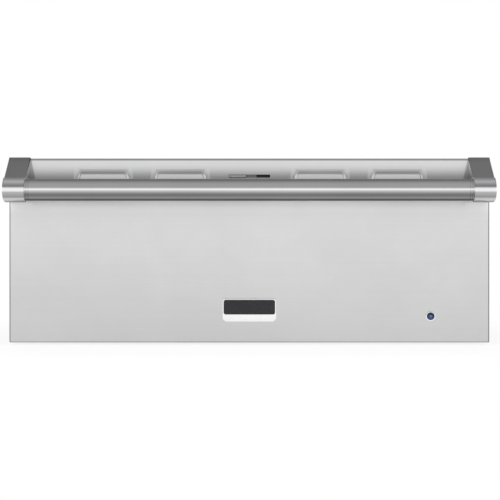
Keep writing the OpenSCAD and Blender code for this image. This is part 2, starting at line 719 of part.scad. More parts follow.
race = ball_d + 0.3;                  // room for the balls between two members' flanges
middle_h = slide_h - 2 * slide_t - 2 * race;
inner_h = middle_h - 2 * slide_t - 2 * race;
outer_row = slide_h / 2 - slide_t - race / 2;
inner_row = middle_h / 2 - slide_t - race / 2;
middle_u = 3;                         // where the middle member's web stands from the liner
ball_u = 7.5;                         // where the ball rows run
cage_t = 0.6;
cage_l = ball_n * ball_pitch;
cage_y = slide_y + slide_l / 2 - cage_l / 2;

// A channel along Y: web from u0 to u1, flanges on to u2, measured inwards from the liner's side.
module channel(u0, u1, u2, h, t, y, l) {
    block([liner_x - u1, y, slide_mid - h / 2], [liner_x - u0, y + l, slide_mid + h / 2]);
    far = max(u0, u2);
    near = min(u0, u2);
    for (s = [-1, 1]) translate([0, 0, s * (h / 2 - t / 2)])
        block([liner_x - far, y, slide_mid - t / 2], [liner_x - near, y + l, slide_mid + t / 2]);
}
module slide_holes(u) for (y = rivet_ys) bar_x([liner_x - u - 3, y, slide_mid], rivet_d + 2 * fit, 6);

module slide_outer() difference() {
    channel(0, slide_t, 11, slide_h, slide_t, slide_y, slide_l);
    slide_holes(0);
}
module slide_middle() channel(middle_u, middle_u + slide_t, 11.2, middle_h, slide_t, slide_y, slide_l);
module slide_inner() difference() {
    channel(slide_w - slide_t, slide_w, 5.8, inner_h, slide_t, slide_y, slide_l);
    slide_holes(slide_w);
}
module slide_outer_right() behind_face() color("silver") slide_outer();
module slide_outer_left() behind_face() color("silver") mirror([1, 0, 0]) slide_outer();
module slide_middle_right() behind_face() color("darkgray") slide_middle();
module slide_middle_left() behind_face() color("darkgray") mirror([1, 0, 0]) slide_middle();
module slide_inner_right() behind_face() color("gainsboro") slide_inner();
module slide_inner_left() behind_face() color("gainsboro") mirror([1, 0, 0]) slide_inner();

// Ball cage: a thin channel whose flanges carry the balls of the rows at +-row.
module ball_cage(u, row) difference() {
    channel(u, u + cage_t, ball_u + 2.8, 2 * row + cage_t, cage_t, cage_y, cage_l);
    for (s = [-1, 1], y = spread(ball_n, ball_pitch))
        bar_z([liner_x - ball_u, cage_y + cage_l / 2 + y, slide_mid + s * row - 2 * cage_t],
              ball_d + 4 * fit, 4 * cage_t);
}
module ball_rows(row) both_sides() for (s = [-1, 1], y = spread(ball_n, ball_pitch))
    translate([liner_x - ball_u, cage_y + cage_l / 2 + y, slide_mid + s * row]) sphere(d = ball_d);

module outer_cage_right() behind_face() color("goldenrod") ball_cage(1.8, outer_row);
module outer_cage_left() behind_face() color("goldenrod") mirror([1, 0, 0]) ball_cage(1.8, outer_row);
module outer_balls() behind_face() color("white") ball_rows(outer_row);
module inner_cage_right() behind_face() color("goldenrod") ball_cage(4.7, inner_row);
module inner_cage_left() behind_face() color("goldenrod") mirror([1, 0, 0]) ball_cage(4.7, inner_row);
module inner_balls() behind_face() color("white") ball_rows(inner_row);

// Rivets from outside the liner into the outer members.
module slide_outer_rivets() behind_face() color("silver") both_sides() for (y = rivet_ys)
    screw([liner_x + liner_t, y, slide_mid], to_left,
          rivet_d, liner_t + slide_t, rivet_head_d, rivet_head_h);
// Rivets from inside the drawer box into the inner members.
module slide_inner_rivets() behind_face() color("silver") both_sides() for (y = rivet_ys)
    screw([box_x - box_t, y, slide_mid], to_right, rivet_d, box_t + slide_t, rivet_head_d, rivet_head_h);

// ------------------------------------------------------------------------ case

fix_x = case_w / 2 + flange_w / 2;
fix_z = (skid_h + case_h) / 2;

// Front frame of the case, with the fixing flanges that lie on the cabinet's face.
module front_frame() behind_face() color("silver") difference() {
    block([-case_w / 2 - flange_w, frame_y, skid_h], [case_w / 2 + flange_w, frame_y + skin_t, case_h]);
    block([-liner_x, frame_y - through, liner_z], [liner_x, frame_y + skin_t + through, liner_top]);
    both_sides() for (z = spread(2, fix_pitch))
        bar_y([fix_x, frame_y - through, fix_z + z], fix_d, skin_t + 2 * through);
}

terminal_xs = [-2.5 * rod_pitch, 2.5 * rod_pitch];
bush_hole_d = rod_d + 5;

// Heated liner: five walls round the drawer's space.
module heated_liner() behind_face() color("lightgray") difference() {
    block([-liner_x - liner_t, liner_y, floor_z], [liner_x + liner_t, liner_back, liner_top + liner_t]);
    block([-liner_x, liner_y - through, liner_z], [liner_x, liner_back - liner_t, liner_top]);
    both_sides() for (y = rivet_ys)
        bar_x([liner_x - through, y, slide_mid], rivet_d + 2 * fit, liner_t + 2 * through);
    for (x = terminal_xs) bar_y([x, liner_back - 3, liner_z + rod_z], bush_hole_d + 2 * fit, 6);
    bar_y([grommet_x, liner_back - 3, grommet_z], grommet_d, 6);
}

return_w = 11;        // width of the wrap's rear flanges

// Outer wrap: top and sides, with rear flanges for the back cover.
module outer_wrap() behind_face() color("lightslategray") difference() {
    block([-case_w / 2, liner_y, skid_h + case_t], [case_w / 2, case_back - case_t, case_h]);
    block([-case_w / 2 + case_t, liner_y - through, 0],
          [case_w / 2 - case_t, case_back - 2 * case_t, case_h - case_t]);
    block([-case_w / 2 + return_w, case_back - 3 * case_t, 0],
          [case_w / 2 - return_w, case_back + through, case_h - return_w]);
    both_sides() for (y = side_screw_ys)
        bar_x([case_w / 2 - 3, y, side_screw_z], sheet_screw_d + 2 * fit, 6);
    both_sides() for (z = back_screw_zs)
        bar_y([case_w / 2 - return_w / 2, case_back - 6, z], sheet_screw_d + 2 * fit, 10);
}
base_lip = 12;
// Base pan with lips inside the wrap.
module base_pan() behind_face() color("slategray") difference() {
    union() {
        block([-case_w / 2, liner_y, skid_h], [case_w / 2, case_back - case_t, skid_h + case_t]);
        both_sides() block([case_w / 2 - 2 * case_t - fit, liner_y, skid_h + case_t / 2],
                           [case_w / 2 - case_t - fit, case_back - 3 * case_t, skid_h + base_lip]);
    }
    both_sides() for (y = side_screw_ys)
        bar_x([case_w / 2 - 5, y, side_screw_z], sheet_screw_d + 2 * fit, 8);
}
skid_inset = 60;      // from the case's side to the middle of a skid
skid_x = case_w / 2 - skid_inset;
skid_front = 45;      // how far the skids start behind the front frame
skid_rear = 20;       // and how far they end before the back cover
skid_t = 1.5;
// Two folded skids that the case stands on.
module base_skids() behind_face() color("slategray") both_sides() difference() {
    block([skid_x - skid_w / 2, frame_y + skid_front, 0],
          [skid_x + skid_w / 2, case_back - skid_rear, skid_h]);
    block([skid_x - skid_w / 2 + skid_t, frame_y + skid_front + skid_t, skid_t],
          [skid_x + skid_w / 2 - skid_t, case_back - skid_rear - skid_t, skid_h + through]);
}

side_screw_z = skid_h + 8;
side_screw_in = 40;                   // from the wrap's front edge to its first screw
side_screw_ys = [for (i = [0:2]) liner_y + side_screw_in + i * (case_d - 2 * side_screw_in) / 2];
back_screw_in = 30;                   // from the cover's lower and upper edges to its screws
back_screw_zs = [skid_h + back_screw_in, (skid_h + case_h) / 2, case_h - back_screw_in];
cover_slot_n = 5;                     // vent slots: number across, rows, size and pitches
cover_slot_rows = 3;
cover_slot_w = 60;
cover_slot_h = 5;
cover_slot_gap = 12;
cover_slot_pitch = 12;
cover_slot_drop = 50;                 // from the cover's upper edge to the middle row
box_on_back_x = 190;                  // centre of the terminal box
box_on_back_z = 90;
terminal_w = 84;
terminal_h = 60;
terminal_lug = 12;                    // reach of its two fixing lugs
lug_xs = [for (s = [-1, 1]) box_on_back_x + s * (terminal_w + terminal_lug) / 2];
lead_hole_d = 12;                     // hole for the leads from the terminal box into the case

// Back cover with vent slots and the opening behind the terminal box.
module back_cover() behind_face() color("lightslategray") difference() {
    block([-case_w / 2, case_back - case_t, skid_h], [case_w / 2, case_back, case_h]);
    for (x = spread(cover_slot_n, cover_slot_w + cover_slot_gap),
         z = spread(cover_slot_rows, cover_slot_pitch))
        block([x - cover_slot_w / 2, case_back - 3, case_h - cover_slot_drop + z - cover_slot_h / 2],
              [x + cover_slot_w / 2, case_back + 1, case_h - cover_slot_drop + z + cover_slot_h / 2]);
    bar_y([box_on_back_x, case_back - 3, box_low + lead_hole_d], lead_hole_d, 6);
    both_sides() for (z = back_screw_zs)
        bar_y([case_w / 2 - return_w / 2, case_back - 6, z], sheet_screw_d + 2 * fit, 10);
    for (x = lug_xs)
        bar_y([x, case_back - 3, box_on_back_z], sheet_screw_d + 2 * fit, 6);
}
// Screws of the wrap, the back cover and the terminal box.
module case_screws() behind_face() color("silver") {
    both_sides() for (y = side_screw_ys)
        sheet_screw([case_w / 2, y, side_screw_z], to_left);
    both_sides() for (z = back_screw_zs)
        sheet_screw([case_w / 2 - return_w / 2, case_back, z], to_front);
    for (x = lug_xs)
        sheet_screw([x, case_back + terminal_t, box_on_back_z], to_front);
}

pad_gap = 2.6;        // room between the pads and the liner for rivet heads
pad_back = case_back - sheet_screw_l - 1;
// Mineral wool round the liner: above, below, at both sides and behind.
module insulation_pads() behind_face() color("wheat") {
    block([-case_w / 2 + case_t + seat, liner_y + 1, liner_top + liner_t],
          [case_w / 2 - case_t - seat, pad_back, case_h - case_t - seat]);
    both_sides() block([liner_x + liner_t + pad_gap, liner_y + 1, floor_z],
                       [case_w / 2 - case_t - seat, liner_back, liner_top]);
    block([-case_w / 2 + sheet_screw_l + 1, liner_y + 1, skid_h + case_t],
          [case_w / 2 - sheet_screw_l - 1, pad_back, floor_z - seat]);
    difference() {
        block([-liner_x, liner_back, floor_z], [liner_x, pad_back, liner_top]);
        for (x = terminal_xs) bar_y([x, liner_back - 1, liner_z + rod_z], bush_hole_d + 14.5, back_gap + 4);
        bar_y([grommet_x, liner_back - 1, grommet_z], grommet_d + 10, back_gap + 4);
        bar_y([limit_x, liner_back - 1, limit_z], limit_d + 6, back_gap + 4);
        bar_y([box_on_back_x, liner_back - 1, box_low + lead_hole_d], lead_hole_d + 6, back_gap + 4);
    }
}

// ---------------------------------------------------------------------- heater

rod_front = liner_y + 70 + rod_pitch / 2;
rod_turn = liner_back - 60 - rod_pitch / 2;
rod_end = liner_back + 9;
rod_centre = liner_z + rod_z;

rod_pin_d = 3;        // terminal pins at the rod's cold ends

// One round bend of the rod, bulging to the back, or turned by 180 degrees to the front.
module rod_bend(x, y, turn) translate([x, y, rod_centre]) rotate([0, 0, turn])
    rotate_extrude(angle = 180) translate([rod_pitch / 2, 0]) circle(d = rod_d);

// Sheathed rod in six runs over the liner's floor, with its cold ends through the back.
module heating_element() behind_face() color("dimgray") {
    both_sides() {
        bar_y([2.5 * rod_pitch, rod_front, rod_centre], rod_d, rod_end - rod_front);
        bar_y([2.5 * rod_pitch, rod_end - through, rod_centre], rod_pin_d, 2 * rod_pin_d + through);
        for (run = [0.5, 1.5]) bar_y([run * rod_pitch, rod_front, rod_centre], rod_d, rod_turn - rod_front);
        rod_bend(2 * rod_pitch, rod_front, 180);
        rod_bend(rod_pitch, rod_turn, 0);
    }
    rod_bend(0, rod_front, 180);
}
post_in = 40;         // from the rod's bends to the posts
post_ys = [rod_front + post_in, rod_turn - post_in];
post_w = 16;
post_t = 1.2;
post_foot = 12;       // depth of a post's foot
post_over = 2;        // metal above the rod
// Posts on the liner's floor that carry the rod.
module element_clips() behind_face() color("silver")
    for (x = spread(6, rod_pitch), y = post_ys) difference() {
        union() {
            block([x - post_w / 2, y - post_t / 2, liner_z],
                  [x + post_w / 2, y + post_t / 2, rod_centre + rod_d / 2 + post_over]);
            block([x - post_w / 2, y - post_foot / 2, liner_z],
                  [x + post_w / 2, y + post_foot / 2, liner_z + post_t]);
        }
        bar_y([x, y - post_foot, rod_centre], rod_d + 4 * fit, 2 * post_foot);
    }
bush_head_t = 3;
bush_in = 4;          // how far a bush stands out behind the liner
// Ceramic bushes round the rod's ends in the liner's back.
module element_bushes() behind_face() color("ivory") for (x = terminal_xs) difference() {
    union() {
        bar_y([x, liner_back - liner_t - bush_head_t, rod_centre], bush_hole_d + 5, bush_head_t);
        bar_y([x, liner_back - liner_t - 1, rod_centre], bush_hole_d, 1 + liner_t + bush_in);
    }
    bar_y([x, liner_back - 2 * bush_in - bush_head_t, rod_centre], rod_d + 2 * fit,
          4 * bush_in + bush_head_t);
}

limit_x = 60;
limit_rise = 60;      // height of the safety cut-out above the liner's floor
limit_z = liner_z + limit_rise;
limit_d = 24;         // its flange, and its body behind the flange
limit_t = 3;
limit_body_d = 16;
limit_body_l = 9;
// Safety cut-out on the back of the liner.
module limit_thermostat() behind_face() color("black") {
    bar_y([limit_x, liner_back, limit_z], limit_d, limit_t);
    bar_y([limit_x, liner_back + limit_t - 1, limit_z], limit_body_d, limit_body_l - limit_t + 1);
    for (x = spread(2, 8)) spade([limit_x + x, liner_back + limit_body_l, limit_z], 4, 4);
}

box_low = box_on_back_z - terminal_h / 2;
gland_x = box_on_back_x + 22;
gland_y = case_back + terminal_d / 2;
gland_d = gland_bore + 6;
gland_out = 9;        // length of the gland below the terminal box, and inside it
gland_in = 3;

// Pressed cover over the terminals, with a lug at each side.
module terminal_box() behind_face() color("gray") difference() {
    union() {
        block([box_on_back_x - terminal_w / 2, case_back, box_low],
              [box_on_back_x + terminal_w / 2, case_back + terminal_d, box_low + terminal_h]);
        block([lug_xs[0] - terminal_lug / 2, case_back, box_on_back_z - terminal_lug / 2],
              [lug_xs[1] + terminal_lug / 2, case_back + terminal_t, box_on_back_z + terminal_lug / 2]);
    }
    block([box_on_back_x - terminal_w / 2 + terminal_t, case_back - through, box_low + terminal_t],
          [box_on_back_x + terminal_w / 2 - terminal_t, case_back + terminal_d - terminal_t,
           box_low + terminal_h - terminal_t]);
    bar_z([gland_x, gland_y, box_low - through], gland_d + 2 * fit, terminal_t + 2 * through);
    for (x = lug_xs)
        bar_y([x, case_back - through, box_on_back_z], sheet_screw_d + 2 * fit, terminal_t + 2 * through);
}
block_w = 48;         // terminal block: width, depth, height, and its screw wells
block_d = 12;
block_h = 18;
block_low = box_on_back_z + 2;
well_d = 5;
well_pitch = 14;
// Three-way terminal block.
module terminal_block() behind_face() color("ivory") difference() {
    block([box_on_back_x - block_w / 2, case_back, block_low],
          [box_on_back_x + block_w / 2, case_back + block_d, block_low + block_h]);
    for (x = spread(3, well_pitch))
        bar_y([box_on_back_x + x, case_back + block_d / 3, block_low + block_h / 2], well_d, block_d);
}
// Gland that the mains cord passes through, under the terminal box.
module cord_gland() behind_face() color("black") difference() {
    union() {
        bar_z([gland_x, gland_y, box_low - fit - gland_out], gland_d + 4, gland_out);
        bar_z([gland_x, gland_y, box_low - 2], gland_d, terminal_t + 4);
        bar_z([gland_x, gland_y, box_low + terminal_t + fit], gland_d + 3, gland_in);
    }
    bar_z([gland_x, gland_y, box_low - 2 * gland_out], gland_bore, 4 * gland_out);
}

front_skin();
inner_panel();
front_insulation();
door_seal();
handle_tube();
handle_bracket_left();
handle_bracket_right();
handle_screws();
handle_set_screws();
badge_plate();
badge_inlay();
indicator_bezel();
indicator_lens();
indicator_lamp();
vent_guide();
vent_guide_rivets();
vent_shutter();
vent_tab();
vent_tab_rivets();
drawer_screws();
drawer_box();
food_pan();
control_ledge();
thermostat();
thermostat_nut();
thermostat_shaft();
control_knob();
thermostat_bulb();
bulb_clips();
drawer_grommet();
slide_inner_left();
slide_inner_right();
slide_inner_rivets();
slide_middle_left();
slide_middle_right();
outer_cage_left();
outer_cage_right();
outer_balls();
inner_cage_left();
inner_cage_right();
inner_balls();
slide_outer_left();
slide_outer_right();
slide_outer_rivets();
front_frame();
heated_liner();
outer_wrap();
base_pan();
base_skids();
back_cover();
case_screws();
insulation_pads();
heating_element();
element_clips();
element_bushes();
limit_thermostat();
liner_grommet();
terminal_box();
terminal_block();
cord_gland();
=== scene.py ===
"""Looks of a built-in warming drawer with a tube handle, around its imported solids. Metres."""
import json
import math

import bmesh
import bpy
import numpy as np
from mathutils import Matrix, Vector, noise

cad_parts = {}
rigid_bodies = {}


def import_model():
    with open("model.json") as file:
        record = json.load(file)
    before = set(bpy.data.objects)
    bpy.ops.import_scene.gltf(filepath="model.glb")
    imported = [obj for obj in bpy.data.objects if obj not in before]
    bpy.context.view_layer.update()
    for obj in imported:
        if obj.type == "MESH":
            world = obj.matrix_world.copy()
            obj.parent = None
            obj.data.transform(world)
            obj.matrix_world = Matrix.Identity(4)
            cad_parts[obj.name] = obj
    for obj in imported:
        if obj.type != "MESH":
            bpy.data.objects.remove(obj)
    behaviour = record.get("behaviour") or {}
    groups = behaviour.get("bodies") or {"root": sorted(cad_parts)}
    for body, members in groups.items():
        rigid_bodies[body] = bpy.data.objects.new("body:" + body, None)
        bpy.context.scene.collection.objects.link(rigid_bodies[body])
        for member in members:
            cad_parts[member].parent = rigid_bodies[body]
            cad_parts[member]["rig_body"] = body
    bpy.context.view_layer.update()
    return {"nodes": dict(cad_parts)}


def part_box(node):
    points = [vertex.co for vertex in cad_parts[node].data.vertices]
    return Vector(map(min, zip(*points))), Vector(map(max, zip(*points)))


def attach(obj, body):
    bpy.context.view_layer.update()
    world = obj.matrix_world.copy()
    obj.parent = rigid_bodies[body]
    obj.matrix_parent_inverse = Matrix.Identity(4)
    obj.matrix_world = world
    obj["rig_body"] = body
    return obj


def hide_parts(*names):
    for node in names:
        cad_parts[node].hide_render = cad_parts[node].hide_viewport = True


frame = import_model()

mm = 0.001

# ---------- camera and studio
# The camera stands level, square to the front and two metres before it, with a long lens. The
# studio is a pale floor under a sky that is white round the horizon and dimmer overhead and
# behind, which gives brushed steel its bright front and its dark upper faces. The lamps are soft.


def extent(node):
    """A node's low and high corner, its middle and half its size."""
    low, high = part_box(node)
    return low, high, (low + high) / 2, (high - low) / 2


scene = bpy.context.scene
panel_low, panel_high, panel_mid, _ = extent("front_skin")
face_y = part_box("indicator_bezel")[1].y
camera_away, camera_above, camera_aside = 2.05, 0.8 * mm, 0.9 * mm
sensor, lens_px, photo_px = 36, 1462.5, 500

camera = bpy.data.objects.new("camera", bpy.data.cameras.new("camera"))
camera.location = (camera_aside, face_y - camera_away, panel_mid.z + camera_above)
camera.rotation_euler = (math.pi / 2, 0, 0)
camera.data.sensor_width = sensor
camera.data.lens = sensor * lens_px / photo_px
scene.collection.objects.link(camera)
scene.camera = camera
scene.view_settings.view_transform = "Standard"


def by(operation):
    """A method that adds a Math node of that operation."""
    return lambda value, *others: value.math(operation, *others)


class Value:
    """A node's socket. Arithmetic on it adds Math nodes."""

    def __init__(self, nodes, socket):
        self.nodes, self.socket = nodes, socket

    def math(self, operation, *others):
        return self.nodes.add("ShaderNodeMath", dict(enumerate((self, *others))),
                              operation=operation)

    __add__ = __radd__ = by("ADD")
    __mul__ = __rmul__ = by("MULTIPLY")
    __sub__, __truediv__, __pow__, __abs__ = map(by, ("SUBTRACT", "DIVIDE", "POWER", "ABSOLUTE"))

    def __rsub__(self, other):
        return self * -1 + other

    def between(self, low, high):
        """0 below low, 1 above high, and smooth between them."""
        return self.nodes.add("ShaderNodeMapRange", {"Value": self, "From Min": low,
                              "From Max": high}, interpolation_type="SMOOTHSTEP")


class Nodes:
    """A node tree while it is filled."""

    def __init__(self, tree):
        self.tree = tree

    def add(self, kind, sockets=(), output=0, **settings):
        """A node of that kind, with its sockets' values or links and its settings; an output."""
        node = self.tree.nodes.new(kind)
        for name, value in settings.items():
            if name == "stops":
                self.stops(node.color_ramp.elements, value)
            else:
                setattr(node, name, value)
        for name, value in dict(sockets).items():
            if isinstance(value, (Value, list)):
                for one in value if isinstance(value, list) else [value]:
                    self.tree.links.new(one.socket, node.inputs[name])
            else:
                node.inputs[name].default_value = value
        return Value(self, node.outputs[output])

    @staticmethod
    def stops(elements, wanted):
        """Sets a ramp's stops, pairs of a place and a grey."""
        while len(elements) < len(wanted):
            elements.new(0.5)
        for element, (place, grey) in zip(elements, sorted(wanted)):
            element.position = place
            element.color = (grey, grey, grey, 1)

    def part(self, vector, axis):
        return self.add("ShaderNodeSeparateXYZ", {0: vector}, axis)

    def mixed(self, factor, first, second):
        """A colour between two colours."""
        return self.add("ShaderNodeMix", {0: factor, 6: first, 7: second}, 2, data_type="RGBA")


world = bpy.data.worlds.new("studio")
scene.world = world
world.use_nodes = True
sky = Nodes(world.node_tree)
heading = sky.add("ShaderNodeTexCoord", output="Generated")
overhead = sky.mixed(sky.part(heading, "Y").between(-0.6, 0.7),
                     (0.56, 0.56, 0.57, 1), (0.22, 0.22, 0.225, 1))
sky_colour = sky.mixed(sky.part(heading, "Z").between(0.17, 0.34), (1, 1, 1, 1), overhead)
world.node_tree.links.new(sky_colour.socket, world.node_tree.nodes["Background"].inputs["Color"])

floor_half = 30
floor = bpy.data.objects.new("floor", bpy.data.meshes.new("floor"))
floor.data.from_pydata([(x * floor_half, y * floor_half, 0)
                        for x, y in ((-1, -1), (1, -1), (1, 1), (-1, 1))], [], [(0, 1, 2, 3)])
scene.collection.objects.link(floor)
paper = bpy.data.materials.new("studio_paper")
paper.use_nodes = True
paper_nodes = Nodes(paper.node_tree)
seen, mirrored, passed = (paper_nodes.add("ShaderNodeLightPath", output=f"Is {ray} Ray")
                          for ray in ("Camera", "Glossy", "Transmission"))
spot = paper_nodes.add("ShaderNodeTexCoord", output="Object")
away = paper_nodes.add("ShaderNodeVectorMath", {0: spot}, "Value", operation="LENGTH")
glow = paper_nodes.add("ShaderNodeEmission", {"Color": (1, 1, 1, 1), "Strength": 1})
matt = paper_nodes.add("ShaderNodeBsdfDiffuse", {"Color": (0.92, 0.92, 0.92, 1)})
near_share, near_away, far_away = 0.8, 0.5, 1.6
paper_share = near_share + away.between(near_away, far_away) * (1 - near_share)
paper_mix = paper_nodes.add("ShaderNodeMixShader", {
    0: (seen + mirrored + passed).math("MINIMUM", 1) * paper_share, 1: matt, 2: glow})
paper.node_tree.links.new(paper_mix.socket, paper.node_tree.nodes["Material Output"].inputs[0])
floor.data.materials.append(paper)

# A lamp hangs over each front corner and one hangs behind: place, width and power.
lamps_aim = Vector((0, 0, 0.1))
for number, (place, width, power) in enumerate([((-1.6, -1.5, 2.2), 1.8, 34),
                                                ((1.6, -1.5, 2.2), 1.8, 34),
                                                ((0, 1.9, 2.3), 2.2, 40)]):
    name = f"softbox_{number}"
    lamp = bpy.data.objects.new(name, bpy.data.lights.new(name, "AREA"))
    lamp.data.size = width
    lamp.data.energy = power
    lamp.location = place
    lamp.rotation_euler = (lamps_aim - Vector(place)).to_track_quat("-Z", "Y").to_euler()
    lamp.visible_glossy = False
    scene.collection.objects.link(lamp)

# ---------- front panel
# The panel is one sheet of brushed stainless steel, 1.2 mm thick. Its four rims are folded back
# over a small radius and its corners are welded and ground. Four louvres are lanced and pressed
# out of it, which draws the sheet in a little round them, and a slot lets the slide's tab through.


class Finish(Nodes):
    """A material: its Principled shader and the nodes that feed it, by the piece's own place."""

    def __init__(self, name, **constants):
        self.material = bpy.data.materials.new(name)
        self.material.use_nodes = True
        super().__init__(self.material.node_tree)
        self.shader = self.tree.nodes["Principled BSDF"]
        for socket, value in constants.items():
            self.shader.inputs[socket.replace("_", " ")].default_value = value
        self.place = self.add("ShaderNodeTexCoord", output="Object")

    def feed(self, socket, value):
        self.tree.links.new(value.socket, self.shader.inputs[socket])

    def noise(self, per_metre, detail=2, roughness=0.5):
        """Noise from 0 to 1, with that many blotches a metre along X, Y and Z."""
        if not isinstance(per_metre, tuple):
            per_metre = (per_metre,) * 3
        vector = self.add("ShaderNodeMapping", {"Vector": self.place, "Scale": per_metre})
        return self.add("ShaderNodeTexNoise", {"Vector": vector, "Scale": 1, "Detail": detail,
                                               "Roughness": roughness})

    def along(self, axis):
        return self.part(self.place, axis)

    def tones(self, factor, dark, light):
        """A colour between two greys or colours."""
        pair = [tuple(c) + (1,) if isinstance(c, tuple) else (c, c, c, 1) for c in (dark, light)]
        return self.mixed(factor, *pair)

    def dress(self, colour, rough, relief=None, depth=0.0, strength=0.5):
        """Feeds the colour, the roughness and a relief, whose depth is in millimetres."""
        self.feed("Base Color", colour)
        self.feed("Roughness", rough)
        if relief:
            self.feed("Normal", self.add("ShaderNodeBump", {
                "Height": relief, "Distance": depth * mm, "Strength": strength}))


def grained(name, dark, light, rough, lay, spread=0.06, grain=0.5, turn=0.0, stretch=0.0,
            shade=None):
    """Brushed or rolled metal, its grain along the axis lay; shade gives a factor from a finish."""
    metal = Finish(name, Metallic=1.0, Anisotropic=stretch, Anisotropic_Rotation=turn)
    fine = metal.noise(tuple(5 if axis == lay else 1500 for axis in "xyz"), 3)
    broad = metal.noise(tuple(1.5 if axis == lay else 190 for axis in "xyz"), 3)
    handled = metal.noise(9, 4).between(0.35, 0.7)
    lines = fine * 0.55 + broad * 0.45
    colour = metal.tones(lines * grain + handled * (1 - grain), dark, light)
    if shade:
        colour = metal.add("ShaderNodeVectorMath", {0: colour, "Scale": shade(metal)},
                           operation="SCALE")
    metal.dress(colour, lines * spread + handled * spread + (rough - spread), lines, 0.02, 0.35)
    return metal


def new_piece(name, points, faces, finish, edges=()):
    """An object from points and faces in place."""
    mesh = bpy.data.meshes.new(name)
    mesh.from_pydata([tuple(p) for p in points], edges, faces)
    mesh.materials.append(finish.material)
    piece = bpy.data.objects.new(name, mesh)
    scene.collection.objects.link(piece)
    return piece


def evaluated(piece):
    """The piece's mesh as its modifiers leave it."""
    bpy.context.view_layer.update()
    graph = bpy.context.evaluated_depsgraph_get()
    return bpy.data.meshes.new_from_object(piece.evaluated_get(graph))


def plain(piece):
    """Turns the piece and its modifiers into one plain mesh."""
    mesh = evaluated(piece)
    mesh.name = piece.name
    piece.modifiers.clear()
    piece.data = mesh


def settle(piece, sharp=35, level=False):
    """Makes the piece plain, and smooth but for sharp edges; level keeps its large faces flat."""
    plain(piece)
    piece.data.shade_smooth()
    piece.data.set_sharp_from_angle(angle=math.radians(sharp))
    if level:
        piece.modifiers.new("level", "WEIGHTED_NORMAL").keep_sharp = True
        plain(piece)
    return piece


def rounded(piece, width, segments):
    """Rounds the piece's edges, each by its weight's share of the width."""
    bevel = piece.modifiers.new("rounded", "BEVEL")
    bevel.limit_method = "WEIGHT"
    bevel.width = width
    bevel.segments = segments
    return bevel


def thickened(piece, thickness):
    """Gives a skin the thickness of its sheet, inwards."""
    sheet = piece.modifiers.new("sheet", "SOLIDIFY")
    sheet.thickness = thickness
    sheet.offset = -1


def fit(piece, body, slot, *nodes):
    """Puts a finished piece on its body, in place of its CAD nodes; slot is not used."""
    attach(piece, body)
    if nodes:
        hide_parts(*nodes)


def clamp(value):
    return min(1, max(0, value))


def ramp(t, start, end):
    """0 below 0 and 1 above 1, straight between but for a round start and a round end."""
    t = np.clip(t, 0, 1)
    rise = 1 / (1 - (start + end) / 2)
    low = t * t / (2 * start)
    high = (1 - (start + end) / 2) - (1 - t) ** 2 / (2 * end)
    return rise * np.where(t < start, low, np.where(t < 1 - end, t - start / 2, high))


sheet_t = 1.2 * mm
rim_r = 1.6 * mm
louvre_w, louvre_h, louvre_out = 75 * mm, 20 * mm, face_y - panel_low.y
louvre_crown, louvre_end = 7.5 * mm, 6.5 * mm
louvre_top = panel_high.z - 16 * mm
louvre_low = louvre_top - louvre_h
# The middle of the row of louvres, and from there that of a pair and that of a louvre in it.
row_x, pair_x, in_pair = 1.3 * mm, 152 * mm, 54 * mm
louvre_xs = [row_x + side * pair_x + end * in_pair for side in (-1, 1) for end in (-1, 1)]
# Each louvre's ends lean in by the taper over its top, and straighten again just above it.
taper, taper_h, taper_off = 4 * mm, 12 * mm, 6 * mm
slot_x, slot_low, slot_high = 29 * mm, panel_high.z - 26.8 * mm, panel_high.z - 22.5 * mm
# The sheet is drawn in round a louvre, most at draw_w from it, out to draw_end.
draw_in, draw_w, draw_end, draw_below = 0.45 * mm, 1.3 * mm, 6 * mm, 4 * mm
corner_blend = 0.25
_, _, handle_axis, tube_half = extent("handle_tube")
bracket_low, bracket_high, bracket_mid, _ = extent("handle_bracket_right")

before_end = [-6, -4, -2.8, -2, -1.3, -0.8, -0.4, 0]
end_lines = before_end + [0.5, 1, 1.6, 2.4, 3.2, 4, 4.8, 5.5, 6, 6.5, 7.2]
top_lines = before_end + [0.5, 1, 1.6, 2.2, 3, 4, 5, 5.8, 6.4, 6.9, 7.5, 9]
beside_fold = rim_r + 0.5 * mm                    # lines beside the folds keep the face flat
across = dict.fromkeys((panel_low.x, panel_low.x + beside_fold, -slot_x, slot_x,
                        panel_high.x - beside_fold, panel_high.x), 0)
for centre in louvre_xs:
    for line in end_lines:
        lean = min(1, 1 + line / 6)
        across[centre - louvre_w / 2 + line * mm] = lean
        across[centre + louvre_w / 2 - line * mm] = -lean
heights = {panel_low.z, panel_low.z + beside_fold, panel_low.z + 60 * mm, panel_high.z,
           panel_high.z - beside_fold, slot_low, slot_high, louvre_low,
           louvre_low + 3 * mm, louvre_low - 4 * mm, louvre_low - 5 * mm}
heights |= {louvre_top - line * mm for line in top_lines}
xs, zs = np.array(sorted(across)), np.array(sorted(heights))


def pressed(x, z, above):
    """How far the sheet stands out at a point; above is its side of the lance line."""
    out = 0.0
    for centre in louvre_xs:
        inside = louvre_w / 2 - abs(x - centre)
        below_top = louvre_top - z
        nearest = min(inside, below_top)
        if nearest >= 0 and above:
            both = [ramp(below_top / louvre_crown, 0.5, 0.25), ramp(inside / louvre_end, 0.4, 0.25)]
            low, high = sorted(float(b) for b in both)
            blend = max(corner_blend - (high - low), 0) / corner_blend
            most = corner_blend ** 2
            out += louvre_out * low * (1 - blend * blend * most) / (1 - most)
        elif z >= louvre_low - draw_below and nearest > -draw_end:
            off = math.hypot(min(inside, 0), min(below_top, 0))
            fade = clamp(1 - (louvre_low - z) / draw_below)
            out -= draw_in * fade * (off / draw_w) * math.exp(1 - off / draw_w)
    return out


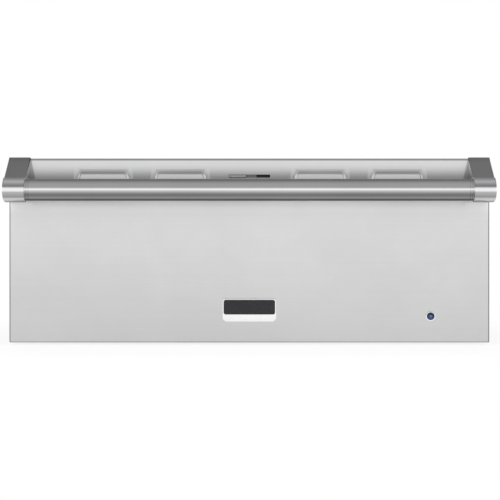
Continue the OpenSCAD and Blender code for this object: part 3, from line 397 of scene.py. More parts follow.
def leant(i, z):
    """How far line i is drawn aside at a height, so that it follows the louvre's leaning end."""
    over = z - louvre_top
    return across[xs[i]] * taper * (clamp(over / taper_h + 1) * clamp(1 - over / taper_off))


def on_louvre(x, within=0.0):
    return any(abs(x - centre) < louvre_w / 2 - within for centre in louvre_xs)


points, faces, spots = [], [], {}


def corner(i, j, hood):
    """The number of the point at grid line i, j; a hood has its own points on its lower edge."""
    split = hood and zs[j] == louvre_low and on_louvre(xs[i], 1e-7)
    key = (i, j, split)
    if key not in spots:
        above = hood or zs[j] > louvre_low
        spots[key] = len(points)
        points.append((xs[i] + leant(i, zs[j]), face_y - pressed(xs[i], zs[j], above), zs[j]))
    return spots[key]


last_x, last_z = len(xs) - 1, len(zs) - 1
for i in range(last_x):
    for j in range(last_z):
        x, z = (xs[i] + xs[i + 1]) / 2, (zs[j] + zs[j + 1]) / 2
        if abs(x) < slot_x and slot_low < z < slot_high:
            continue
        hood = louvre_low < z < louvre_top and on_louvre(x)
        faces.append([corner(i + a, j + b, hood) for a, b in ((0, 0), (1, 0), (1, 1), (0, 1))])

loop = [(i, 0) for i in range(last_x)] + [(last_x, j) for j in range(last_z)]
loop += [(i, last_z) for i in range(last_x, 0, -1)] + [(0, j) for j in range(last_z, 0, -1)]
front = [corner(i, j, False) for i, j in loop]
back = list(range(len(points), len(points) + len(loop)))
points += [(xs[i], panel_high.y, zs[j]) for i, j in loop]
folds = set()
for k in range(len(loop)):
    n = (k + 1) % len(loop)
    faces.append([front[n], front[k], back[k], back[n]])
    folds.add(frozenset((front[k], front[n])))
    if loop[k] in ((0, 0), (last_x, 0), (last_x, last_z), (0, last_z)):
        folds.add(frozenset((front[k], back[k])))


def louvre_ends(x, z):
    """1 at the louvres' leaning ends."""
    from_middle = abs(abs(abs(x - row_x) - pair_x) - in_pair)
    from_middle = from_middle + (z - louvre_top + taper_h) * (taper / taper_h)
    return from_middle.between(louvre_w / 2 - 5 * mm, louvre_w / 2 - 3 * mm)


def panel_shade(steel):
    """Painted light on the panel: a painted reflection of the handle, which the louvres stand clear
    of, and painted shade at its folds.
    """
    mirror_dark, clear_light, drawn_share, crown_dark, wedge_dark = 0.6, 0.5, 0.45, 0.24, 0.35
    side_dark, top_dark, foot_dark, glow_light = 0.75, 0.5, 0.35, 0.12
    fall_rate, fall_foot, bracket_lean = 1.12, 0.774, 0.25
    x, y, z = (steel.along(axis) for axis in "XYZ")
    out = (y - face_y) * (-1 / louvre_out)        # 1 on a louvre's crown, below 0 where drawn in
    rise = (z - handle_axis.z) * (1 / mm)         # millimetres above the tube's axis
    raised = out.between(0, 0.2)
    drawn = (out * -1).between(0.02, 0.04) * (1 - (out * -1).between(0.06, 0.12))
    # A painted reflection of the tube: painted shade on the panel behind it, which the louvres'
    # upper parts stand out of.
    behind = (1 - rise.between(15, 38)) * rise.between(-13, -4)
    clear = raised.math("MAXIMUM", drawn * drawn_share) * rise.between(15.5, 18.5)
    mirror = 1 - behind * (mirror_dark - clear * clear_light)
    # Painted shade on the louvres' steep sides, and a painted reflection of the sloping brackets
    # beside them.
    crown = raised * (1 - out.between(0.75, 0.95)) * (1 - louvre_ends(x, z))
    bracket_gap = bracket_low.x - abs(x) - (panel_high.z - z) * bracket_lean
    wedge = (1 - bracket_gap.between(-1 * mm, 0.4 * mm)) * rise.between(0, 4)
    # Painted shade darkens the panel towards its foot, but for a painted highlight: a pale band
    # under the tube.
    fall = (z * fall_rate + fall_foot).math("MINIMUM", 1)
    fall = fall + (1 - rise.between(-13, -8)) * rise.between(-34, -18) * glow_light
    # Painted dark lines at the folds, a painted reflection in their round rims, on the face only.
    to_side = abs(x).between(panel_high.x - 2.1 * mm, panel_high.x - 1 * mm) * side_dark
    to_top = z.between(panel_high.z - 3.6 * mm, panel_high.z - 2.2 * mm) * top_dark
    to_foot = (1 - z.between(panel_low.z + 1 * mm, panel_low.z + 2.4 * mm)) * foot_dark
    fold_line = to_side.math("MAXIMUM", to_top).math("MAXIMUM", to_foot)
    fold_line = fold_line * (1 - y.between(face_y + 1 * mm, face_y + 2.4 * mm))
    return mirror * (1 - crown * crown_dark) * (1 - wedge * wedge_dark) * fall * (1 - fold_line)


brushed_steel = grained("brushed_stainless", 0.76, 0.92, 0.33, "x", turn=0.25, stretch=0.75,
                        shade=panel_shade)
# A painted highlight: the pressed ends of the louvres are made less metallic near their feet, so
# they look lighter.
px, py, pz = (brushed_steel.along(axis) for axis in "XYZ")
louvre_end_highlight = louvre_ends(px, pz) * ((py - face_y) * (-1 / louvre_out)).between(0.01, 0.15)
louvre_end_highlight = louvre_end_highlight * (1 - pz.between(louvre_top - 8 * mm, louvre_top - 5 * mm))
brushed_steel.feed("Metallic", 1 - louvre_end_highlight * 0.85)
front_panel = new_piece("front_panel", points, faces, brushed_steel)
weights = front_panel.data.attributes.new("bevel_weight_edge", "FLOAT", "EDGE")
for edge in front_panel.data.edges:
    weights.data[edge.index].value = 1.0 if frozenset(edge.vertices) in folds else 0.0
rounded(front_panel, rim_r, 4)
thickened(front_panel, sheet_t)
fit(settle(front_panel), "drawer", "brushed_stainless", "front_skin")

# ---------- handle tube
# A drawn stainless tube, brushed along its length. Two fine grooves are turned near each end,
# beside the brackets, and its ends are hidden in the brackets' seats.


def outward(piece):
    """Merges doubled points, removes collapsed faces, and turns every face outwards."""
    shape = bmesh.new()
    shape.from_mesh(piece.data)
    bmesh.ops.remove_doubles(shape, verts=shape.verts, dist=1e-6)
    bmesh.ops.dissolve_degenerate(shape, edges=shape.edges, dist=1e-7)
    bmesh.ops.recalc_face_normals(shape, faces=shape.faces)
    shape.to_mesh(piece.data)
    shape.free()
    return piece


def revolved(name, profile, centre, axis, finish, steps=96, closed=True):
    """A piece of a profile of (radius, distance) pairs turned about an axis through centre."""
    axis = Vector(axis).normalized()
    side = axis.orthogonal().normalized()
    other = axis.cross(side)
    turned, quads = [], []
    for k in range(steps):
        turn = 2 * math.pi * k / steps
        out = side * math.cos(turn) + other * math.sin(turn)
        turned += [Vector(centre) + out * r + axis * d for r, d in profile]
    n = len(profile)
    for k in range(steps):
        a, b = k * n, (k + 1) % steps * n
        for m in range(n if closed else n - 1):
            quads.append([a + m, b + m, b + (m + 1) % n, a + (m + 1) % n])
    return outward(new_piece(name, turned, quads, finish))


def by_height(radius, stops):
    """Painted light and shade by height over the handle's axis, in radii; stops are (height, grey).
    """
    low, high = min(h for h, _ in stops), max(h for h, _ in stops)
    places = [((h - low) / (high - low), grey) for h, grey in stops]

    def shade(metal):
        height = (metal.along("Z") - handle_axis.z) * (1 / radius)
        return metal.add("ShaderNodeValToRGB", {"Fac": (height - low) * (1 / (high - low))},
                         stops=places)
    return shade


tube_r, tube_wall, tube_break = tube_half.z, 2 * mm, 0.4 * mm
groove, groove_deep = 0.9 * mm, 0.35 * mm
half = [(tube_r - tube_wall, 0), (tube_r - tube_wall, tube_half.x),
        (tube_r - tube_break, tube_half.x), (tube_r, tube_half.x - tube_break)]
for before in (2.2, 5.2):
    middle = bracket_low.x - before * mm
    half += [(tube_r, middle + groove / 2), (tube_r - groove_deep, middle),
             (tube_r, middle - groove / 2)]
profile = half + [(r, -d) for r, d in reversed(half[1:])]
# A painted highlight along the tube's front and painted shade on its underside, by height.
tube_painted_light = [(-1, 0.09), (-0.88, 0.10), (-0.74, 0.31), (-0.62, 0.21), (-0.42, 0.18),
              (-0.22, 0.40), (-0.1, 0.62), (0.02, 1.0), (0.13, 0.76), (0.24, 0.62), (0.86, 0.6),
              (1, 0.42)]
tube_steel = grained("handle_steel", 0.90, 1.0, 0.17, "x", turn=0.25, stretch=0.45, spread=0.05,
                     shade=by_height(tube_r, tube_painted_light))
handle = revolved("handle_tube_brushed", profile, handle_axis, (1, 0, 0), tube_steel)
fit(settle(handle, 25), "drawer", "handle_steel", "handle_tube")

# ---------- handle brackets
# Each bracket is a stainless casting: a block with a sloping upper face and a round nose, bored
# for the tube. It is ground smooth, its edges are rounded, and it is satin polished.


def lofted(name, rings, finish, caps=(True, True)):
    """A skin over rings of points with equal counts."""
    n, last = len(rings[0]), len(rings) - 1
    quads = [[k * n + m, k * n + (m + 1) % n, (k + 1) * n + (m + 1) % n, (k + 1) * n + m]
             for k in range(last) for m in range(n)]
    quads += [list(range(at * n, at * n + n)) for at, cap in zip((0, last), caps) if cap]
    return outward(new_piece(name, [p for ring in rings for p in ring], quads, finish))


def bore(piece, cutters, operation="DIFFERENCE"):
    """Cuts the cutters out of the piece, or joins them to it, and deletes them."""
    for cutter in cutters:
        cut = piece.modifiers.new("cut", "BOOLEAN")
        cut.object = cutter
        cut.operation = operation
        cut.solver = "EXACT"
    settle(piece)
    for cutter in cutters:
        bpy.data.objects.remove(cutter)


def arc(centre_y, centre_z, r, first, last, steps):
    """Points of an arc in the YZ plane and the ways they look; angles are from -Y to +Z."""
    found = []
    for k in range(steps + 1):
        angle = math.radians(first + (last - first) * k / steps)
        look = (-math.cos(angle), math.sin(angle))
        found.append((centre_y + r * look[0], centre_z + r * look[1], look))
    return found


nose_r = handle_axis.y - bracket_low.y
nose_z, top_z, under_z = handle_axis.z, bracket_high.z, bracket_low.z + 1.3 * mm
crest_r, foot_r = 0.2 * mm, 0.8 * mm
junction = 100                                    # where the slope meets the nose, past its top
past_top = math.radians(junction - 90)
meet, meet_z = handle_axis.y + nose_r * math.sin(past_top), nose_z + nose_r * math.cos(past_top)
slope = math.degrees(math.atan2(face_y - meet, top_z - meet_z))
slope_look = (-math.cos(math.radians(slope)), math.sin(math.radians(slope)))
crest_z = top_z - crest_r * (1 - slope_look[0]) / slope_look[1]
under_turn = math.degrees(math.asin((nose_z - under_z) / nose_r)) - 180

outline = arc(face_y - crest_r, crest_z, crest_r, 180, slope, 4)
slope_y, slope_z, _ = outline[-1]
outline += [(slope_y + (meet - slope_y) * share, slope_z + (meet_z - slope_z) * share, slope_look)
            for share in (0.25, 0.5, 0.75, 0.97)]
outline += arc(handle_axis.y, nose_z, nose_r, junction, under_turn, 60)
outline += [(face_y + (meet - face_y) * share, under_z, (0, -1)) for share in (0.8, 0.4)]
outline += arc(face_y - foot_r, under_z + foot_r, foot_r, 270, 180, 3)


def end_round(z, outer):
    """Radius of the bracket's edge at a height, at its outer or its inner end."""
    lower = clamp((nose_z - 5 * mm - z) / (10 * mm))
    if outer:
        on_nose = clamp((meet_z - z) / (4 * mm))
        return (0.9 + 1.6 * on_nose + 0.8 * lower) * mm
    upper = clamp((z - meet_z) / (top_z - meet_z))
    return (0.9 + 0.5 * lower + 1.6 * upper ** 3) * mm


def casting(name, side):
    """One bracket: its outline run across, with rounded ends, and the tube's seat bored into it."""
    inner, outer = bracket_low.x, bracket_high.x
    shares = (0, 0.03, 0.12, 0.28, 0.5, 0.75, 1)
    rings = []
    for is_outer, share in [(True, s) for s in shares] + [(False, s) for s in reversed(shares)]:
        ring = []
        for y, z, look in outline:
            r = end_round(z, is_outer)
            inset = r - math.sqrt(max(r * r - (r - share * r) ** 2, 0)) if look[0] <= 0.5 else 0
            x = outer - share * r if is_outer else inner + share * r
            ring.append((side * x, min(y - look[0] * inset, face_y), z - look[1] * inset))
        rings.append(ring)
    bracket = lofted(name, rings, cast_steel)
    seat_r, mouth_r, seat_deep, ahead = tube_r + 0.1 * mm, tube_r + 0.9 * mm, 10 * mm, -3 * mm
    mouth = [(0, ahead), (mouth_r, ahead), (mouth_r, 0.1 * mm), (seat_r, 0.9 * mm),
             (seat_r, seat_deep), (0, seat_deep)]
    bore(bracket, [revolved(name + "_seat", mouth, (side * inner, handle_axis.y, nose_z),
                            (side, 0, 0), cast_steel)])
    fit(settle(bracket, 32), "drawer", "bracket_casting", "handle_" + name)


# Painted highlights and painted shade in bands across the bracket's nose and slope, by height.
nose_painted_light = [(-1, 0.2), (-0.93, 0.3), (-0.86, 0.6), (-0.74, 0.63), (-0.6, 0.32), (-0.4, 0.4),
              (-0.22, 0.48), (-0.1, 0.92), (0.14, 1.0), (0.19, 0.66), (0.27, 0.34), (0.45, 0.52),
              (0.62, 0.86), (0.75, 1.0), (0.98, 1.0), (1.04, 0.56), (3, 0.54)]
cast_steel = grained("bracket_casting", 0.92, 1.0, 0.2, "x", turn=0.25, stretch=0.2,
                     shade=by_height(nose_r, nose_painted_light))
casting("bracket_right", 1)
casting("bracket_left", -1)

# ---------- screws and rivets
# Pan-head cross-recess screws hold the sheet metal and the brackets, grub screws lock the tube,
# and blind rivets hold the slides and the vent's guide. All are zinc plated, and each sits turned
# as it was driven. They are instanced on points that carry the way they point.


def growing(name, inputs, build):
    """A Geometry Nodes tree: build makes its mesh from the inputs, given as names and kinds."""
    tree = bpy.data.node_groups.new(name, "GeometryNodeTree")
    for label, kind in {**inputs, "Skin": "Material"}.items():
        tree.interface.new_socket(label, in_out="INPUT", socket_type="NodeSocket" + kind)
    tree.interface.new_socket("Mesh", in_out="OUTPUT", socket_type="NodeSocketGeometry")
    nodes = Nodes(tree)
    given = tree.nodes.new("NodeGroupInput")
    taken = {socket.name: Value(nodes, socket) for socket in given.outputs if socket.name}
    real = nodes.add("GeometryNodeRealizeInstances", {0: build(nodes, taken)})
    skinned = nodes.add("GeometryNodeSetMaterial", {"Geometry": real, "Material": taken["Skin"]})
    tree.links.new(skinned.socket, tree.nodes.new("NodeGroupOutput").inputs[0])
    return tree


def grow(piece, tree, values, sharp):
    """Runs a tree on a piece, with its inputs set by their sockets' identifiers."""
    maker = piece.modifiers.new("maker", "NODES")
    maker.node_group = tree
    for item in tree.interface.items_tree:
        if item.in_out == "INPUT" and item.name in values:
            maker[item.identifier] = values[item.name]
    return settle(piece, sharp)


def on_points(nodes, points, thing, axis, spin=None):
    """Instances of a thing on points, its axis turned the way that each point carries."""
    aim = nodes.add("GeometryNodeInputNamedAttribute", {"Name": "aim"}, data_type="FLOAT_VECTOR")
    way = nodes.add("FunctionNodeAlignRotationToVector", {"Vector": aim}, axis=axis)
    if spin:
        way = nodes.add("FunctionNodeRotateRotation", {0: way, 1: spin}, rotation_space="LOCAL")
    return nodes.add("GeometryNodeInstanceOnPoints", {"Points": points, "Instance": thing,
                                                      "Rotation": way})


def grown(name, tree, places, values, finish):
    """A piece that a tree grows on points; places are (point, way it points) pairs."""
    piece = new_piece(name, [p for p, _ in places], [], finish)
    ways = piece.data.attributes.new("aim", "FLOAT_VECTOR", "POINT")
    ways.data.foreach_set("vector", [c for _, way in places for c in way])
    grow(piece, tree, {**values, "Skin": finish.material}, 30)
    if "aim" in piece.data.attributes:
        piece.data.attributes.remove(piece.data.attributes["aim"])
    return piece


fastener_sizes = ("Head Radius", "Head Height", "Crown", "Shank Radius", "Shank Length",
                  "Thread Depth", "Thread Pitch")


def fastener_tree(name, recess):
    """Geometry nodes for one kind of screw or rivet: recess is cross, hex or round."""

    def build(nodes, taken):
        r, h, crown, shank_r, shank_l, thread, pitch = (taken[size] for size in fastener_sizes)
        place = nodes.add("GeometryNodeInputPosition")
        x, y, z = (nodes.part(place, axis) for axis in "XYZ")

        def vector(*parts):
            return nodes.add("ShaderNodeCombineXYZ", dict(zip("XYZ", parts)))

        def cylinder(sides, rings, fills, radius, depth):
            return nodes.add("GeometryNodeMeshCylinder", {
                "Vertices": sides, "Side Segments": rings, "Fill Segments": fills,
                "Radius": radius, "Depth": depth})

        def shaped(solid, position):
            return nodes.add("GeometryNodeSetPosition", {"Geometry": solid, "Position": position})

        out = (x * x + y * y).math("SQRT") / r
        drop = out ** 2.4 * crown * h * z.math("LESS_THAN", 0)
        head = shaped(cylinder(32, 1, 4, r, h), vector(x, y, z + drop - h * 0.5))
        spiral = y.math("ARCTAN2", x) * (0.5 / math.pi) + z / pitch
        cut = 1 - spiral.math("PINGPONG", 0.5) * 2 * thread / shank_r
        shank = shaped(cylinder(14, 30, 1, shank_r, shank_l),
                       vector(x * cut, y * cut, z + shank_l * 0.5 - h * 0.3))
        if recess == "cross":
            cutters = [nodes.add("GeometryNodeMeshCube", {"Size": vector(wide, deep, h * 1.1)})
                       for wide, deep in ((r * 1.15, r * 0.26), (r * 0.26, r * 1.15))]
        else:
            sides, share = (6, 0.62) if recess == "hex" else (12, 0.3)
            cutters = [cylinder(sides, 1, 1, r * share, h * 1.2)]
        at_top = vector(0, 0, h * -1)
        cutters = [nodes.add("GeometryNodeTransform", {"Geometry": c, "Translation": at_top})
                   for c in cutters]
        head = nodes.add("GeometryNodeMeshBoolean", {0: head, 1: cutters}, operation="DIFFERENCE",
                         solver="EXACT")
        whole = nodes.add("GeometryNodeJoinGeometry", {0: [head, shank]})
        turn = nodes.add("FunctionNodeRandomValue", {2: 0.0, 3: math.pi, "Seed": 7}, 1,
                         data_type="FLOAT")
        spin = nodes.add("FunctionNodeEulerToRotation", {0: vector(0, 0, turn)})
        return on_points(nodes, taken["Points"], whole, "Z", spin)

    return growing(name, {"Points": "Geometry", **dict.fromkeys(fastener_sizes, "Float")}, build)


def plated(name, dark, light, rough):
    """Zinc-plated steel: a clear pale coat with faint clouds and small marks."""
    coat = Finish(name, Metallic=1.0)
    clouds = coat.noise(120, 4)
    marks = coat.noise(900, 3).between(0.55, 0.75)
    coat.dress(coat.tones(clouds, dark, light), clouds * 0.12 + marks * 0.08 + (rough - 0.08),
               marks, 0.01, 0.3)
    return coat


screw_zinc = plated("screw_steel", (0.50, 0.50, 0.49), (0.72, 0.72, 0.70), 0.3)
screw_tree = fastener_tree("pan_head_screw", "cross")
rivet_tree = fastener_tree("blind_rivet", "round")
grub_tree = fastener_tree("grub_screw", "hex")


def fastened(node, tree, places, head_d, head_h, crown, shank_d, shank_l, thread=0.0, pitch=1.0):
    """Replaces a node of screws or rivets by detailed ones; sizes are in millimetres."""
    sizes = (head_d * mm / 2, head_h * mm, crown, shank_d * mm / 2,
             shank_l * mm + head_h * mm * 0.3, thread * mm, pitch * mm)
    piece = grown(node + "_driven", tree, places, dict(zip(fastener_sizes, sizes)), screw_zinc)
    fit(piece, frame["nodes"][node]["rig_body"], "screw_steel", node)


def both_sides(places):
    """The places and their mirror images."""
    return places + [((-p[0], p[1], p[2]), (-way[0], way[1], way[2])) for p, way in places]


def spread(n, pitch):
    return [(i - (n - 1) / 2) * pitch for i in range(n)]


box_low, box_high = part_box("drawer_box")
box_t = 1.2 * mm
rim_places = [((x, panel_high.y - 6 * mm, z), (0, 0, way))
              for z, way in ((panel_high.z, -1), (panel_low.z, 1))
              for x in spread(4, (panel_high.x - panel_low.x) * 0.28)]
box_places = [((x, box_low.y + box_t, box_low.z + 8 * mm), (0, -1, 0))
              for x in spread(4, box_high.x * 0.6)]
fastened("drawer_screws", screw_tree, rim_places + box_places, 7.5, 0.7, 0.5, 4, 5, 0.28, 1.3)
bracket_places = [((bracket_mid.x, face_y + sheet_t, handle_axis.z + rise * mm), (0, -1, 0))
                  for rise in (-6, 26)]
fastened("handle_screws", screw_tree, both_sides(bracket_places), 9, 3, 0.45, 5, 17.2, 0.35, 0.8)
grub_low, grub_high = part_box("handle_set_screws")
grub_h = 0.9
grub_at = (bracket_low.x + 5 * mm, handle_axis.y, grub_low.z + grub_h * mm)
fastened("handle_set_screws", grub_tree, both_sides([(grub_at, (0, 0, 1))]), 3.9, grub_h, 0.1,
         4, (grub_high.z - grub_low.z) / mm - grub_h, 0.25, 0.7)
guide_low, guide_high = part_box("vent_guide")
guide_places = [((x, face_y + sheet_t + 1 * mm, guide_low.z + 3.5 * mm), (0, -1, 0))
                for x in spread(6, 2 * (guide_high.x - 6 * mm) / 5)]
fastened("vent_guide_rivets", rivet_tree, guide_places, 5.5, 1, 0.75, 3, 1)
tab_low, tab_high, tab_mid, tab_half = extent("vent_tab")
tab_places = [((tab_mid.x + x * mm, tab_high.y + 1 * mm, tab_mid.z), (0, -1, 0)) for x in (-6, 6)]
fastened("vent_tab_rivets", rivet_tree, tab_places, 3.4, 0.8, 0.7, 2, 3.5)
slide_low, slide_high, slide_mid, _ = extent("slide_outer_right")
slide_pitch = (slide_high.y - slide_low.y - 70 * mm) / 2
for member, x, way, shank_l in (("inner", box_high.x - box_t, 1, 2.4),
                                ("outer", slide_high.x + 1 * mm, -1, 2.2)):
    slide_places = [((x, slide_low.y + 20 * mm + i * slide_pitch, slide_mid.z), (way, 0, 0))
                    for i in range(3)]
    fastened(f"slide_{member}_rivets", rivet_tree, both_sides(slide_places), 8, 1.2, 0.7,
             4, shank_l)
wrap_low, wrap_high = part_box("outer_wrap")
cover_low, cover_high, cover_mid, _ = extent("back_cover")
lug_low, lug_high, lug_mid, _ = extent("terminal_box")
case_places = both_sides(
    [((wrap_high.x, wrap_low.y + (40 + i * 242.5) * mm, cover_low.z + 8 * mm), (-1, 0, 0))
     for i in range(3)]
    + [((wrap_high.x - 5.5 * mm, cover_high.y, z), (0, -1, 0))
       for z in (cover_low.z + 30 * mm, cover_mid.z, cover_high.z - 30 * mm)])
case_places += [((x, cover_high.y + 1 * mm, lug_mid.z), (0, -1, 0))
                for x in (lug_low.x + 6 * mm, lug_high.x - 6 * mm)]
fastened("case_screws", screw_tree, case_places, 7.5, 1.6, 0.5, 4, 5, 0.28, 1.3)

# ---------- badge
# A plain badge: a die-cast plate, bright plated, with a bevelled rim round a recess of dark
# enamel. It is left bare. Two studs behind it go through the panel.


def round_ring(half_w, half_h, radii, steps=8, x=0.0, y=0.0):
    """Points round a rectangle with round corners about x, y; one radius for each corner."""
    ring = []
    for number, (sx, sy) in enumerate(((1, 1), (-1, 1), (-1, -1), (1, -1))):
        r = min(max(radii[number], 0.05 * mm), half_w * 0.98, half_h * 0.98)
        for step in range(steps + 1):
            turn = math.radians(number * 90 + step * 90 / steps)
            ring.append((x + sx * (half_w - r) + r * math.cos(turn),
                         y + sy * (half_h - r) + r * math.sin(turn)))
    return ring


def plate_rings(middle, half_w, half_h, radii, front_y, steps):
    """Rings of a plate that faces -Y; radii and steps, (inset, distance behind front), in mm."""
    return [[(x, front_y + behind * mm, z)
             for x, z in round_ring(half_w - inset * mm, half_h - inset * mm,
                                    [(r - inset) * mm for r in radii], x=middle.x, y=middle.z)]
            for inset, behind in steps]


plate_low, plate_high, plate_mid, plate_half = extent("badge_plate")
field_low, field_high, field_mid, field_half = extent("badge_inlay")
plate_r, field_r = [4, 4, 6, 6], [3] * 4
plate_y, field_y = plate_low.y, field_low.y
field_mid.x = plate_mid.x
field_gap = 0.1 * mm

chrome = Finish("badge_metal", Metallic=1.0)
clouds = chrome.noise(60, 3)
marks = chrome.noise((700, 700, 2400), 2).between(0.6, 0.8)
chrome.dress(chrome.tones(clouds, 0.86, 0.95), clouds * 0.05 + marks * 0.08 + 0.08,
             marks, 0.01, 0.3)

badge = lofted("badge_plate_plated", plate_rings(
    plate_mid, plate_half.x, plate_half.z, plate_r, plate_y,
    [(0, (face_y - plate_y) / mm), (0, 0.6), (0.03, 0.2), (0.12, 0.07), (0.3, 0)]), chrome)
field_cut = lofted("field_cut", plate_rings(
    field_mid, field_half.x + field_gap, field_half.z + field_gap, field_r, plate_y,
    [(-0.4, -0.5), (-0.1, 0.1), (0, 0.3), (0, 0.8)]), chrome)
stud_low, stud_r, stud_x = face_y - 0.5 * mm, 2 * mm, 27.5 * mm
stud_l, stud_break = plate_high.y - stud_low, 0.4 * mm
stud_profile = [(0, 0), (stud_r, 0), (stud_r, stud_l - stud_break), (stud_r - stud_break, stud_l),
                (0, stud_l)]
studs = [revolved("stud", stud_profile, (plate_mid.x + x, stud_low, plate_mid.z), (0, 1, 0),
                  chrome, 32) for x in (-stud_x, stud_x)]
bore(badge, [field_cut])
bore(badge, studs, "UNION")
fit(settle(badge, 30), "drawer", "badge_metal", "badge_plate")

enamel = Finish("badge_enamel", Coat_Roughness=0.06, Specular_IOR_Level=0.3)
clouds = enamel.noise(90, 3)
enamel.dress(enamel.tones(clouds, (0.010, 0.010, 0.012), (0.022, 0.022, 0.026)),
             clouds * 0.1 + 0.22, enamel.noise(260, 1), 0.02, 0.3)
enamel.feed("Coat Weight", clouds * 0.05 + 0.05)
inlay = lofted("badge_inlay_enamel", plate_rings(
    field_mid, field_half.x, field_half.z, field_r, field_y,
    [(0, (field_high.y - field_y) / mm), (0, 0.2), (0.1, 0.06), (0.35, 0), (4, 0.05)]), enamel)
fit(settle(inlay, 40), "drawer", "badge_enamel", "badge_inlay")

# ---------- indicator lamp
# A blue moulded lens snapped through the panel in a polished ring. Its centre is painted lighter, a
# painted glow of the lamp behind it, and its dome has moulded rings. The holder is white.


def quarter(r, angles, lift=1.0):
    """Points of a quarter circle at angles in degrees; lift is the power that fills it out."""
    return [(r * math.cos(a), math.sin(a) ** lift) for a in np.radians(angles)]


ring_low, _, lamp_at, ring_half = extent("indicator_bezel")
lens_low, lens_high, _, lens_half = extent("indicator_lens")
lamp_at.y = face_y
ring_r, lens_r = ring_half.x, lens_half.x
lens_out, ring_out, lens_back = face_y - lens_low.y, face_y - ring_low.y, face_y - lens_high.y

ring_edge = 0.9 * mm
ring_profile = [(ring_r, 0), (ring_r, 0.3 * mm)]
ring_profile += [(ring_r - ring_edge + u, ring_out - ring_edge + v * ring_edge)
                 for u, v in quarter(ring_edge, [10, 30, 50, 70, 90])]
hole_r = lens_r + 0.1 * mm
ring_profile += [(lens_r + 0.5 * mm, ring_out - 0.05 * mm), (hole_r, ring_out - 0.5 * mm),
                 (hole_r, 0)]
polished = plated("bezel_metal", (0.80, 0.83, 0.87), (0.93, 0.95, 0.98), 0.14)
bezel = revolved("indicator_ring", ring_profile, lamp_at, (0, -1, 0), polished)
fit(settle(bezel, 30), "drawer", "bezel_metal", "indicator_bezel")

lens_profile = [(0, lens_out)]
lens_rings, lens_edge = 7, 1.0 * mm
for share in (k / (lens_rings * 4) for k in range(1, lens_rings * 4 + 1)):
    ripple = 0.05 * mm * math.sin(math.pi * lens_rings * share) ** 2 if share > 0.35 else 0
    lens_profile.append((lens_r * 0.97 * share,
                         lens_out - (lens_out - lens_edge) * share ** 2.2 - ripple))
lens_profile += [(lens_r, 0.8 * mm), (lens_r, 0.02 * mm), (lens_r - 1 * mm, 0),
                 (lens_r - 1 * mm, lens_back + 0.4 * mm), (lens_r - 1.4 * mm, lens_back),
                 (0, lens_back)]
glassy = Finish("lens_blue", Coat_Roughness=0.05, IOR=1.49)
lens_x, lens_z = glassy.along("X") - lamp_at.x, glassy.along("Z") - lamp_at.z
from_centre = (lens_x * lens_x + lens_z * lens_z).math("SQRT") * (1 / lens_r)
# Painted light: the centre is painted lighter over the lamp, and the dome's lower side a lighter
# blue.
lit = glassy.tones(from_centre.between(0.18, 0.55), (0.10, 0.14, 0.30), (0.006, 0.014, 0.045))
low_side = (lens_z * (-1 / lens_r)).between(0.0, 0.95) * from_centre.between(0.35, 0.8)
glassy.dress(glassy.mixed(low_side, lit, (0.03, 0.07, 0.19, 1)), glassy.noise(500) * 0.1 + 0.12)
glassy.feed("Coat Weight", glassy.noise(200) * 0.1 + 0.1)
lens = revolved("indicator_lens_moulded", lens_profile, lamp_at, (0, -1, 0), glassy, closed=False)
fit(settle(lens, 40), "drawer", "lens_blue", "indicator_lens")

# ---------- plain and moulded parts
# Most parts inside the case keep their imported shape, but no real edge is dead sharp: sheared edges
# are broken, folds are round, and mouldings have small radii. Each is a copy of its solid, eased.


def copied(node, suffix, finish):
    """A copy of a node's solid in one finish, to be worked on."""
    mesh = frame["nodes"][node].data.copy()
    mesh.materials.clear()
    mesh.materials.append(finish.material)
    for polygon in mesh.polygons:
        polygon.material_index = 0
    piece = bpy.data.objects.new(node + suffix, mesh)
    scene.collection.objects.link(piece)
    return piece


def eased(node, finish, slot, edge=0.2, fold=0.0, wide=5.0):
    """Stands a copy in for a node: edges eased by edge, folds of walls over wide by fold, in mm."""
    piece = copied(node, "_formed", finish)
    shape = bmesh.new()
    shape.from_mesh(piece.data)
    bmesh.ops.remove_doubles(shape, verts=shape.verts, dist=2e-6)
    bmesh.ops.dissolve_degenerate(shape, edges=shape.edges, dist=1e-7)
    bmesh.ops.dissolve_limit(shape, angle_limit=math.radians(0.6), verts=shape.verts,
                             edges=shape.edges)
    layer = shape.edges.layers.float.new("bevel_weight_edge")
    largest = max(edge, fold)
    breadth = {f: f.calc_area() / max(e.calc_length() for e in f.edges) for f in shape.faces}
    for line in shape.edges:
        if len(line.link_faces) != 2 or line.calc_face_angle() < math.radians(30):
            continue
        between_walls = min(breadth[f] for f in line.link_faces) > wide * mm
        folded = between_walls and fold and line.is_convex
        line[layer] = (fold if folded else edge) / largest
    shape.to_mesh(piece.data)
    shape.free()
    rounded(piece, largest * mm, 2).use_clamp_overlap = False
    settle(piece, 32, True)
    fit(piece, frame["nodes"][node]["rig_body"], slot, node)


def dressed(finish, *nodes):
    """Gives CAD nodes that keep their shape a finish."""
    for node in nodes:
        for slot in frame["nodes"][node].material_slots:
            slot.material = finish.material


def moulded(name, dark, light, rough, grain_size=1400, depth=0.03):
    """Moulded plastic, rubber or ceramic: faint clouds and a fine texture."""
    skin = Finish(name)
    clouds = skin.noise(70, 4)
    texture = skin.noise(grain_size)
    skin.dress(skin.tones(clouds * 0.6 + texture * 0.4, dark, light),
               clouds * 0.15 + (rough - 0.07), texture, depth)
    return skin


lamp_white = moulded("lamp_plastic", (0.66, 0.64, 0.58), (0.78, 0.76, 0.70), 0.45)
eased("indicator_lamp", lamp_white, "lamp_plastic", 0.15)

